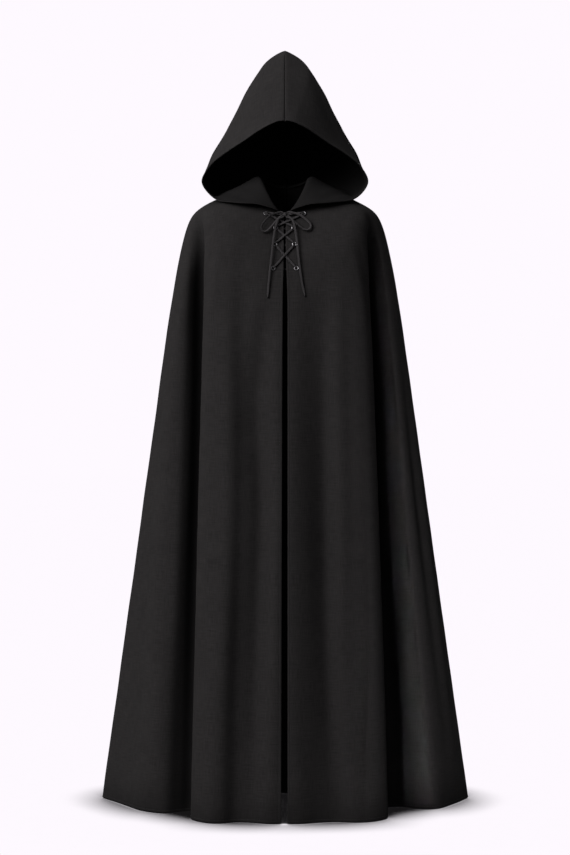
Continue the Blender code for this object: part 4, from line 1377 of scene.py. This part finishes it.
    def build(self, cloth: Cloth) -> None:
        """Makes the fronts and the back with their stitching.

        Args:
            cloth: the finishes of the cloth and the stitches.
        """
        stitch = Topstitch()
        edge = self.front_edge.stops().index(self.front_edge.turned)
        hem = -1 - self.hem.stops().index(self.hem.turned)
        for side in Side:
            for back in (False, True):
                panel = self.panel(side, back)
                piece, face = panel.build(cloth)
                normal = grid_normals(face, panel.outward)
                lines = [(face[hem], normal[hem])]
                if not back:
                    lines.append((face[self.stitch_line:hem, edge], normal[self.stitch_line:hem, edge]))
                name = f"topstitch_{panel.node}"
                seam = add_piece(name, stitch.mesh(name, lines), cloth.thread)


@dataclass
class Hood:
    """The hood's two halves, sewn to the neckline and along the middle, with a turned rim."""

    form: CloakForm
    lines: int = 150
    columns: int = 92
    dense_lines: int = 220
    dense_columns: int = 96
    softening: int = 14
    crease_marks: int = 14
    unstitched: int = 3  # lines at each end of the rim
    rim: Edge = Edge(turned=9.0 * MM, swell=0.45 * MM, groove=0.7 * MM)
    middle: Edge = Edge(seam_dip=3.8 * MM, seam_reach=2.2 * MM)
    neck: Edge = Edge()
    tuck_in: float = 2.5 * MM  # of the turning inside the neckline
    tuck_down: float = 4.0 * MM
    flat: Pair = (0.42, 0.60)  # width and length of the cloth that a half is cut from
    area: float = 0.165  # in square metres
    creases: tuple[Crease, ...] = (
        Crease(((5.4, 0.10), (6.2, 0.30), (7.4, 0.46)), -2.6, 13),
        Crease(((6.4, 0.16), (7.6, 0.30), (8.8, 0.44), (9.6, 0.56)), 2.4, 16),
        Crease(((5.0, 0.42), (6.0, 0.55), (7.4, 0.68)), -3.0, 16),
        Crease(((4.6, 0.70), (5.6, 0.78), (7.0, 0.84)), 3.0, 17),
        Crease(((2.2, 0.10), (3.0, 0.24), (4.0, 0.38)), 1.6, 10),
    )

    def base(self) -> Points:
        """The smooth form of the left half.

        Returns:
            Rows of densely spaced points, from the neck seam to the middle.
        """
        rows = np.linspace(0, len(self.form.ribs) - 1, self.dense_lines)
        shares = np.linspace(0, 1, self.dense_columns)
        grid = np.stack([self.form.hood_line(row, shares) for row in rows])
        return soften(grid, 1, self.dense_lines - 1, self.softening)

    def crease_line(self, crease: Crease) -> Points:
        """The points that a crease of the left half runs through, close together."""
        marks = crease.marks(self.crease_marks)
        return np.array([self.form.hood_line(row, np.array([share]))[0] for row, share in marks])

    def panel(self, side: Side) -> ClothPanel:
        """Lays out one half.

        Args:
            side: which half it is.

        Returns:
            The panel, not yet built.
        """
        dense = self.base()
        grid = np.stack([between_edges(dense[:, k], self.neck, self.middle, self.lines)
                         for k in range(self.dense_columns)], axis=1)
        grid = np.stack([between_edges(line, self.rim, self.middle, self.columns) for line in grid])
        inward = unit(grid[0] * (-1, -1, 0))
        tucked = grid[0] + inward * self.tuck_in - (0, 0, self.tuck_down)
        grid = np.concatenate([tucked[None], grid])
        mirror = np.array([side.value, 1, 1])
        creases = [(self.crease_line(crease) * mirror, crease) for crease in self.creases]
        name = f"hood_{side.word}"
        middle = (Border.LAST_COLUMN, Border.LAST_ROW)
        return ClothPanel(f"cloth_{name}", name, grid * mirror, self.rim, self.middle, self.neck, self.middle,
                          (side.value, 0, 0), creases, middle, middle if side is Side.RIGHT else ())

    def build(self, cloth: Cloth) -> None:
        """Makes both halves with the stitching of the rim.

        Args:
            cloth: the finishes of the cloth and the stitches.
        """
        stitch = Topstitch()
        rim = self.rim.stops().index(self.rim.turned)
        for side in Side:
            panel = self.panel(side)
            piece, face = panel.build(cloth)
            stitched = slice(self.unstitched, -self.unstitched)
            lines = [(face[stitched, rim], grid_normals(face, panel.outward)[stitched, rim])]
            name = f"topstitch_{panel.node}"
            seam = add_piece(name, stitch.mesh(name, lines), cloth.thread)


# ---------------- lacing
@dataclass(frozen=True)
class Place:
    """A place on a front: distance from the middle and height above the hem."""

    out: float
    height: float


@dataclass(frozen=True)
class Stop:
    """A place that the lace passes, with the lift of its middle above the cloth."""

    out: float
    height: float
    lift: float


@dataclass(frozen=True)
class Exit:
    """Where a lace leaves the knot: angle from straight out, up positive, and its lift."""

    angle: float
    lift: float


@dataclass(frozen=True)
class Station:
    """A cross-section of the lace."""

    middle: Vector
    facing: Vector
    half_width: float
    half_thickness: float


EYELETS = (Place(0.0288, 1.3600), Place(0.0243, 1.4215), Place(0.0228, 1.4640), Place(0.0475, 1.5010))
RIGHT_END = (
    Stop(0.0152, 1.4850, 0.0100), Stop(0.0205, 1.4760, 0.0098), Stop(0.0250, 1.4600, 0.0084),
    Stop(0.0295, 1.4280, 0.0070), Stop(0.0325, 1.3980, 0.0062), Stop(0.0365, 1.3620, 0.0052),
    Stop(0.0400, 1.3250, 0.0032), Stop(0.0428, 1.2860, 0.0020),
)
LEFT_END = (
    Stop(0.0160, 1.4845, 0.0100), Stop(0.0225, 1.4750, 0.0098), Stop(0.0272, 1.4550, 0.0084),
    Stop(0.0310, 1.4250, 0.0070), Stop(0.0340, 1.3930, 0.0062), Stop(0.0375, 1.3600, 0.0052),
    Stop(0.0430, 1.3220, 0.0032), Stop(0.0502, 1.2890, 0.0020),
)
RIGHT_LOOP = (
    Stop(0.0220, 1.4985, 0.0084), Stop(0.0360, 1.4920, 0.0080), Stop(0.0490, 1.4800, 0.0070),
    Stop(0.0578, 1.4665, 0.0056), Stop(0.0572, 1.4550, 0.0048), Stop(0.0485, 1.4530, 0.0052),
    Stop(0.0380, 1.4610, 0.0062), Stop(0.0270, 1.4740, 0.0068), Stop(0.0180, 1.4845, 0.0068),
)
LEFT_LOOP = (
    Stop(0.0220, 1.4990, 0.0084), Stop(0.0370, 1.4945, 0.0080), Stop(0.0510, 1.4845, 0.0070),
    Stop(0.0630, 1.4735, 0.0056), Stop(0.0650, 1.4635, 0.0048), Stop(0.0580, 1.4570, 0.0050),
    Stop(0.0470, 1.4590, 0.0058), Stop(0.0340, 1.4690, 0.0068), Stop(0.0205, 1.4825, 0.0068),
)


@dataclass(frozen=True)
class RolledEyelet:
    """A pressed eyelet: a barrel through the cloth, rolled over a washer on each face."""

    bore: float = 0.0035
    barrel: float = 0.0041
    flange: float = 0.0059
    flange_thickness: float = 0.0009
    clearance: float = 0.0006
    wall: float = 2.2 * MM
    roll_power: float = 0.8  # less than 1 makes the roll fuller than half round
    roll_steps: int = 11
    steps: int = 48

    def profile(self) -> list[Pair]:
        """Lays out the eyelet's section.

        Returns:
            Radii and depths, a closed line round the metal.
        """
        front = self.clearance
        behind = -self.wall - self.clearance
        middle = (self.bore + self.flange) / 2
        half = (self.flange - self.bore) / 2
        rolls = []
        for way, level in ((1, front), (-1, behind)):
            for angle in np.linspace(0.0, math.pi, self.roll_steps):
                rise = self.flange_thickness * math.sin(angle) ** self.roll_power
                rolls.append((middle - way * half * math.cos(angle), level + way * rise))
        barrel = [(self.barrel, front), (self.barrel, behind)]
        return rolls[:self.roll_steps] + barrel + rolls[self.roll_steps:]

    def mesh(self, name: str, centre: Vector, normal: Vector) -> Mesh:
        """Turns the section round the eyelet's axis.

        Args:
            name: the mesh's name.
            centre: the hole's centre on the cloth's outer face.
            normal: the direction out of the cloth.

        Returns:
            The mesh.
        """
        turn = normal.to_track_quat("Z", "Y")
        section = self.profile()
        points = []
        for angle in round_turn(self.steps):
            for radius, depth in section:
                place = Vector((radius * math.cos(angle), radius * math.sin(angle), depth))
                points.append(centre + turn @ place)
        width = len(section)
        faces = []
        for i in range(self.steps):
            near = i * width
            far = (i + 1) % self.steps * width
            for j in range(width):
                k = (j + 1) % width
                faces.append((near + k, far + k, far + j, near + j))
        return new_mesh(name, points, faces)


@dataclass
class Lacing:
    """The eyelets and the flat lace that closes the fronts: two crossing strands, a knot, loops and ends."""

    form: CloakForm
    width: float = 0.0052
    thickness: float = 0.0017
    bunched: float = 0.0013  # radius of the lace where it is drawn through an eyelet
    exit_half_width: float = 0.0014
    pass_offset: float = 0.00148  # up and down from an eyelet's middle, where two strands share it
    slit_reach: float = 0.012  # from the middle; within it a lace spans the slit in a straight line
    lace_lift: float = 0.0028
    mouth_lift: float = 0.0036
    over_lift: float = 0.0042
    under_lift: float = 0.0017
    near_depth: float = -0.0056
    far_depth: float = -0.0082
    bore_start: float = 0.0006  # first place in an eyelet, out from the strand's depth
    bore_lifts: tuple[float, ...] = (-0.0030, -0.0002, 0.0026)
    mouth_reach: float = 0.0040  # from an eyelet's middle to where the lace comes out of it
    flat_reach: float = 0.0110  # and to where it lies flat
    crowding: float = 1.3  # flat reaches from an eyelet, within which the slit adds no station
    seam_gap: float = 0.0003
    # shares of a strand's way from the middle to an eyelet, on between two inside, and on to the knot,
    # with its lift where that changes and whether it is bunched there
    seam_shares: tuple[tuple[float, bool], ...] = ((0.6, False), (0.88, True))
    inside_shares: tuple[tuple[float, bool], ...] = ((0.10, True), (0.3, False), (0.7, False), (0.90, True))
    knot_shares: tuple[tuple[float, float, bool], ...] = (
        (0.10, 0.0036, True), (0.3, 0.0036, False), (0.55, 0.0040, False))
    knot_near: float = 0.0060  # from the knot to a strand's last place before it
    loop_near: Pair = (0.0035, 0.0045)  # from the knot to a loop's first and last places
    knot_size: tuple[float, float, float] = (0.0062, 0.0056, 0.0042)
    knot_place: Place = Place(0.0, 1.4955)
    knot_lift: float = 0.0062
    knot_gap: float = 0.0004
    core_inset: Pair = (0.0002, 0.0012)  # of the knot's core, endways and all round
    core_open: float = 0.02  # angle at each of its ends, inside the loops
    core_steps: tuple[int, int] = (18, 28)
    core_lumps: tuple[tuple[float, int, int], ...] = ((0.07, 3, 4), (0.05, 5, -2))  # rise, turns, twist
    band_half: Pair = (0.0027, 0.0009)  # width and thickness of the band round the knot
    band_drift: float = 0.0009  # by which the band slants
    band_start: float = 0.8  # angle that its slant starts from
    band_steps: int = 25
    loop_tilt: float = math.radians(35)
    strand_exit: Exit = Exit(math.radians(8), 0.0052)
    loop_exit: Exit = Exit(math.radians(35), 0.0076)
    loop_return: Exit = Exit(math.radians(-24), 0.0066)
    end_exit: Exit = Exit(math.radians(-58), 0.0088)
    per_stop: int = 2  # stations of a loop or a free end
    spreading: int = 4  # stations over which it spreads to its full width
    look: float = 0.25  # stops before and behind a station that give its direction
    tip_length: Pair = (11 * MM, 9 * MM)  # of a stiffened tip, with and without its taper
    tip_narrower: float = 0.22
    tip_thicker: float = 0.45
    corner: Pair = (0.75, 0.55)  # powers that square the lace's section
    sides: int = 14
    finer: int = 5  # cross-sections for each station

    def over_front(self, out: float, height: float, lift: float) -> tuple[Vector, Vector]:
        """Finds a point over the fronts and the slit between them.

        Args:
            out: distance from the middle, negative on the right.
            height: height above the hem.
            lift: distance above the cloth.

        Returns:
            The point and the normal there.
        """
        if abs(out) >= self.slit_reach:
            point, normal = self.form.front_place(Side.LEFT if out > 0 else Side.RIGHT, abs(out), height)
            return point + normal * lift, normal
        right, right_normal = self.over_front(-self.slit_reach, height, lift)
        left, left_normal = self.over_front(self.slit_reach, height, lift)
        share = (out + self.slit_reach) / (2 * self.slit_reach)
        return right.lerp(left, share), right_normal.lerp(left_normal, share).normalized()

    def knot_stop(self, leave: Exit, beyond: float) -> Stop:
        """Finds a stop near the place where a lace leaves the knot.

        Args:
            leave: the place.
            beyond: how far the stop is from it.

        Returns:
            The stop.
        """
        reach_x, reach_z, _ = self.knot_size
        x = reach_x * math.cos(leave.angle)
        z = reach_z * math.sin(leave.angle)
        lean = Vector((x / reach_x ** 2, z / reach_z ** 2)).normalized() * (self.knot_gap + beyond)
        return Stop(x + lean.x, self.knot_place.height + z + lean.y, leave.lift)

    def station(self, place: Pair, lift: float, facing: int | Vector, bunched: bool) -> Station:
        """Makes a cross-section of a strand.

        Args:
            place: distance from the middle, negative on the right, and height above the hem.
            lift: of the lace's middle above the cloth.
            facing: the way its face looks, or 1 for out of the cloth and -1 for into it.
            bunched: whether the lace is drawn together there.

        Returns:
            The station.
        """
        point, normal = self.over_front(*place, lift)
        size = (self.bunched, self.bunched) if bunched else (self.width / 2, self.thickness / 2)
        return Station(point, normal * facing if isinstance(facing, int) else facing, *size)

    def between(self, start: Pair, end: Pair, share: float, lift: float, facing: int,
                bunched: bool) -> Station:
        """Makes a cross-section at a share of the way between two places, the rest as for a station."""
        place = (start[0] + (end[0] - start[0]) * share, start[1] + (end[1] - start[1]) * share)
        return self.station(place, lift, facing, bunched)

    def passing(self, place: Pair, depth: float, outwards: bool, facing: Vector) -> list[Station]:
        """Takes a strand through an eyelet.

        Args:
            place: the eyelet's.
            depth: the strand's lift on the inside.
            outwards: whether it comes from the inside.
            facing: the way its face looks.

        Returns:
            The stations.
        """
        lifts = (depth + self.bore_start, *self.bore_lifts)
        return [self.station(place, lift, facing, True) for lift in (lifts if outwards else reversed(lifts))]

    def outside(self, start: Pair, end: Pair, middle_lift: float) -> list[Station]:
        """Takes a strand across the slit in front of the cloth.

        Args:
            start: where it leaves an eyelet.
            end: where it goes into the next one.
            middle_lift: its lift where the strands cross.

        Returns:
            The stations.
        """
        length = math.dist(start, end)
        near = self.mouth_reach / length
        wide = self.flat_reach / length
        crossing = start[0] / (start[0] - end[0])
        reach = self.slit_reach / abs(start[0] - end[0])
        limit = self.crowding * wide
        shares = {wide, crossing, 1 - wide}
        shares.update(share for share in (crossing - reach, crossing + reach) if limit < share < 1 - limit)
        stations = [self.between(start, end, near, self.mouth_lift, 1, True)]
        for share in sorted(shares):
            lift = middle_lift if share == crossing else self.lace_lift
            stations.append(self.between(start, end, share, lift, 1, False))
        return stations + [self.between(start, end, 1 - near, self.mouth_lift, 1, True)]

    def strand(self, side: Side) -> list[Station]:
        """Lays out the strand that starts inside and leaves every eyelet of one side outwards.

        Args:
            side: the side.

        Returns:
            The stations, from the lowest eyelet up to the knot.
        """
        depth = self.near_depth if side is Side.RIGHT else self.far_depth
        middle_lift = self.over_lift if side is Side.RIGHT else self.under_lift
        sign = side.value
        lowest = EYELETS[0]
        stations = [self.station((sign * self.seam_gap / 2, lowest.height), depth, -1, False)]
        for share, bunched in self.seam_shares:
            stations.append(self.station((sign * lowest.out * share, lowest.height), depth, -1, bunched))
        out = (sign * lowest.out, lowest.height)
        for upper in EYELETS[1:]:
            across = (-sign * upper.out, upper.height - self.pass_offset)
            onward = Vector((across[0] - out[0], 0, across[1] - out[1])).normalized()
            stations += self.passing(out, depth, True, -onward)
            stations += self.outside(out, across, middle_lift)
            stations += self.passing(across, depth, False, onward)
            out = (sign * upper.out, upper.height + self.pass_offset)
            for share, bunched in self.inside_shares:
                stations.append(self.between(across, out, share, depth, -1, bunched))
        stations += self.passing(out, depth, True, Vector((sign, 0, 0)))
        knot = self.knot_stop(self.strand_exit, 0.0)
        end = (sign * knot.out, knot.height)
        for share, lift, bunched in self.knot_shares:
            stations.append(self.between(out, end, share, lift, 1, bunched))
        stop = self.knot_stop(self.strand_exit, self.knot_near)
        stations.append(self.station((sign * stop.out, stop.height), stop.lift, 1, False))
        last = self.station(end, knot.lift, 1, False)
        return stations + [replace(last, half_width=self.exit_half_width)]

    def free(self, side: Side, stops: Sequence[Stop], leave: Exit, back: Exit | None) -> list[Station]:
        """Stations of a stretch that leaves the knot and hangs, or comes back to it.

        Args:
            side: the side that it is on.
            stops: the places that it passes.
            leave: where it leaves the knot.
            back: where it comes back to the knot, or None for a free end.

        Returns:
            The stations.
        """
        first, last = self.loop_near
        route = [self.knot_stop(leave, 0.0), self.knot_stop(leave, first), *stops]
        if back:
            route += [self.knot_stop(back, last), self.knot_stop(back, 0.0)]
        rows = table(route)
        tilt = side.value * self.loop_tilt if back else 0.0
        stations = []
        count = self.per_stop * (len(route) - 1)
        for i in range(count + 1):
            at = np.clip(i / self.per_stop + np.array([-self.look, 0.0, self.look]), 0, len(route) - 1)
            marks = through(rows, at)
            points = [self.over_front(side.value * out, height, lift) for out, height, lift in marks]
            middle, normal = points[1]
            sideways = (points[2][0] - points[0][0]).cross(normal).normalized()
            spread = min(1.0, i / self.spreading, (count - i) / self.spreading if back else 1.0)
            half_width = self.exit_half_width + (self.width / 2 - self.exit_half_width) * spread
            facing = normal * math.cos(tilt * spread) + sideways * math.sin(tilt * spread)
            stations.append(Station(middle, facing, half_width, self.thickness / 2))
        return stations

    def loft(self, name: str, stations: Sequence[Station], tip: bool = False) -> tuple[Mesh, Points]:
        """Lofts the flat lace through its stations.

        Args:
            name: the mesh's name.
            stations: its cross-sections.
            tip: whether its last stretch is a stiffened tip, a little thicker.

        Returns:
            The mesh and the points of its middle line.
        """
        rows = np.array([[*s.middle, *s.facing, s.half_width, s.half_thickness] for s in stations])
        fine = through(rows, np.linspace(0, len(rows) - 1, (len(rows) - 1) * self.finer + 1))
        middle, facing, half_width, half_thickness = np.split(fine, (3, 6, 7), axis=1)
        along = unit(np.gradient(middle, axis=0))
        flat = unit(facing - along * np.sum(facing * along, axis=1, keepdims=True))
        across = np.cross(along, flat)
        if tip:
            run = lengths_along(middle)
            start, end = self.tip_length
            tipped = smoothstep(run, run[-1] - start, run[-1] - end)[:, None]
            half_width = half_width * (1 - self.tip_narrower * tipped)
            half_thickness = half_thickness * (1 + self.tip_thicker * tipped)
        rings = []
        for angle in round_turn(self.sides):
            out = math.copysign(abs(math.cos(angle)) ** self.corner[0], math.cos(angle))
            up = math.copysign(abs(math.sin(angle)) ** self.corner[1], math.sin(angle))
            rings.append(middle - across * half_width * out + flat * half_thickness * up)
        return mesh_from_grid(name, np.stack(rings, axis=1), capped=True), middle

    def knot(self, cotton: Material) -> list[Object]:
        """Makes the bow's knot: a core of crossed lace with a band wrapped round it.

        Args:
            cotton: the lace's finish.

        Returns:
            The two objects.
        """
        centre, normal = self.over_front(self.knot_place.out, self.knot_place.height, self.knot_lift)
        turn = normal.to_track_quat("Z", "Y")
        reach_x, reach_y, reach_z = self.knot_size
        band_width, band_depth = self.band_half
        band = []
        for angle in np.linspace(0, 2 * math.pi, self.band_steps):
            drift = self.band_drift * math.sin(angle / 2 - self.band_start)
            point = Vector((drift, (reach_y - band_depth) * math.sin(angle),
                            (reach_z - band_depth) * math.cos(angle)))
            facing = Vector((0.0, math.sin(angle) / reach_y, math.cos(angle) / reach_z)).normalized()
            band.append(Station(centre + turn @ point, turn @ facing, band_width, band_depth))
        wrap, _ = self.loft("knot_wrap", band)
        endways, all_round = self.core_inset
        length_steps, round_steps = self.core_steps
        rings = []
        for angle in np.linspace(self.core_open, math.pi - self.core_open, length_steps):
            ring = []
            for around in round_turn(round_steps):
                lump = sum((rise * math.sin(turns * around + twist * angle)
                            for rise, turns, twist in self.core_lumps), 1.0)
                ring.append(centre + turn @ Vector((
                    (reach_x - endways) * math.cos(angle),
                    (reach_y - all_round) * lump * math.sin(angle) * math.cos(around),
                    (reach_z - all_round) * lump * math.sin(angle) * math.sin(around))))
            rings.append(ring)
        core = mesh_from_grid("knot_core", np.array(rings))
        piece = add_piece("bow_knot", core, cotton, ("lace_knot",))
        return [piece, add_piece("bow_knot_wrap", wrap, cotton)]

    def build(self, metal: Material, cotton: Material) -> None:
        """Makes the bow, the strands and the eyelets.

        Args:
            metal: the eyelets' finish.
            cotton: the lace's finish.
        """
        tied = self.knot(cotton)
        free = (
            ("free_end_right", "lace_end_right", Side.RIGHT, RIGHT_END, self.end_exit, None),
            ("free_end_left", "lace_end_left", Side.LEFT, LEFT_END, self.end_exit, None),
            ("loop_right", "bow_loop_right", Side.RIGHT, RIGHT_LOOP, self.loop_exit, self.loop_return),
            ("loop_left", "bow_loop_left", Side.LEFT, LEFT_LOOP, self.loop_exit, self.loop_return),
        )
        for name, node, side, stops, leave, back in free:
            mesh, middle = self.loft(name, self.free(side, stops, leave, back), tip=back is None)
            piece = add_piece(name, mesh, cotton, (node,))
            tied = []
        for side in Side:
            mesh, _ = self.loft(f"strand_{side.word}", self.strand(side))
            add_piece(f"strand_{side.word}", mesh, cotton, (f"lace_{side.word}",))
            for number, place in enumerate(EYELETS, 1):
                centre, normal = self.form.front_place(side, place.out, place.height)
                name = f"grommet_{side.word}_{number}"
                mesh = RolledEyelet().mesh(name, centre, normal)
                add_piece(name, mesh, metal, (f"eyelet_{side.word}_{number}",))


# ---------------- studio
@dataclass(frozen=True)
class SoftBox:
    """A soft light on a stand."""

    name: str
    place: tuple[float, float, float]
    target: tuple[float, float, float]
    size: Pair  # width and height
    power: float  # in watts
    colour: str
    spread: float = math.pi  # how widely its grid lets the light fan out

    def hang(self) -> None:
        """Adds the light to the scene."""
        data = bpy.data.lights.new(self.name, "AREA")
        data.shape = "RECTANGLE"
        data.size, data.size_y = self.size
        data.energy = self.power
        data.spread = self.spread
        data.color = linear(self.colour)[:3]
        light = new_object(self.name, data)
        light.location = self.place
        way = Vector(self.target) - Vector(self.place)
        light.rotation_euler = way.to_track_quat("-Z", "Y").to_euler()


@dataclass
class Studio:
    """The camera, the lights and the floor."""

    distance: float = 4.44  # from the camera to the origin's plane
    aside: float = 0.0005  # of the camera, from the cloak's middle plane
    camera_height: float = -0.558  # in the part's frame
    lens: float = 72.67
    sensor: float = 36.0
    sight: float = 200.0  # how far the camera sees
    floor_height: float = -1.5226
    floor_size: float = 60.0
    wall: str = "#fef9ff"  # of the studio, lit to white
    air: str = "#fffdfd"  # colour of the light that the room gives from all round
    dark: float = 0.05  # light that the room sends up at the cloak
    bright: float = 0.2  # and down
    boxes: tuple[SoftBox, ...] = (
        SoftBox("key", (-4.7, -3.9, 3.1), (0.0, 0.0, -0.4), (4.0, 4.0), 540.0, "#fffefb"),
        SoftBox("back", (0.4, 6.5, 1.3), (0.0, 0.0, -0.4), (2.0, 2.0), 290.0, "#fdfdff"),
        SoftBox("strip", (-1.51, -4.7, -0.8), (0.36, -0.06, -0.8), (0.09, 1.9), 0.85, "#fffefb",
                math.radians(3)),
    )

    def camera(self) -> None:
        """Makes the level camera in front of the cloak."""
        data = bpy.data.cameras.new("camera")
        data.lens = self.lens
        data.sensor_width = self.sensor
        data.sensor_fit = "AUTO"
        data.clip_end = self.sight
        camera = new_object("camera", data)
        camera.location = (self.aside, -self.distance, self.camera_height)
        camera.rotation_euler = (math.pi / 2, 0, 0)
        bpy.context.scene.camera = camera

    def room(self) -> None:
        """Makes the white room: weak light from all round, most of it from above, and its lit wall."""
        world = bpy.data.worlds.new("white_room")
        world.use_nodes = True
        tree = world.node_tree
        tree.nodes.clear()
        way = add_node(tree, "TexCoord").outputs["Generated"]
        height = add_node(tree, "SeparateXYZ", links={"Vector": way}).outputs["Z"]
        strength = add_node(tree, "MapRange",
                            {"From Min": -0.35, "From Max": 0.6, "To Min": self.dark, "To Max": self.bright},
                            {"Value": height})
        room = add_node(tree, "Background", {"Color": linear(self.air)}, {"Strength": strength})
        wall = add_node(tree, "Background", {"Color": linear(self.wall)})
        seen = add_node(tree, "LightPath").outputs["Is Camera Ray"]
        both = add_node(tree, "MixShader", links={0: seen, 1: room, 2: wall})
        add_node(tree, "OutputWorld", links={"Surface": both})
        bpy.context.scene.world = world

    def floor(self) -> None:
        """Lays the pale floor just under the hem."""
        half = self.floor_size / 2
        corners = [(-half, -half), (half, -half), (half, half), (-half, half)]
        mesh = new_mesh("floor", [(x, y, self.floor_height) for x, y in corners], [(0, 1, 2, 3)])
        mesh.materials.append(PaintedFloor().build())
        floor = new_object("floor", mesh)
        floor.visible_diffuse = False
        floor.visible_glossy = False

    def build(self) -> None:
        """Makes the room, hangs the lights and lays the floor."""
        bpy.context.scene.view_settings.view_transform = "Standard"
        self.room()
        for box in self.boxes:
            box.hang()
        self.floor()


def main() -> None:
    """Builds the cloak on its frame, then the studio."""
    logging.basicConfig(level=logging.INFO, format="%(name)s: %(message)s")
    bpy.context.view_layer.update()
    studio = Studio()
    studio.camera()
    form = CloakForm()
    # the inside is the same wool drawn darker, as painted shade inside the hood and the cloak
    inside = FulledWool(name="shaded_inside", dark_and_shaded="#131213", worn_and_unshaded="#1d1c1d", sheen=0.0)
    cloth = Cloth(FulledWool().build(), inside.build(), SewingThread().build())
    Lacing(form).build(BlackNickel().build(), BraidedCotton().build())
    Hood(form).build(cloth)
    Body(form).build(cloth)
    studio.build()


if __name__ == "__main__":
    main()
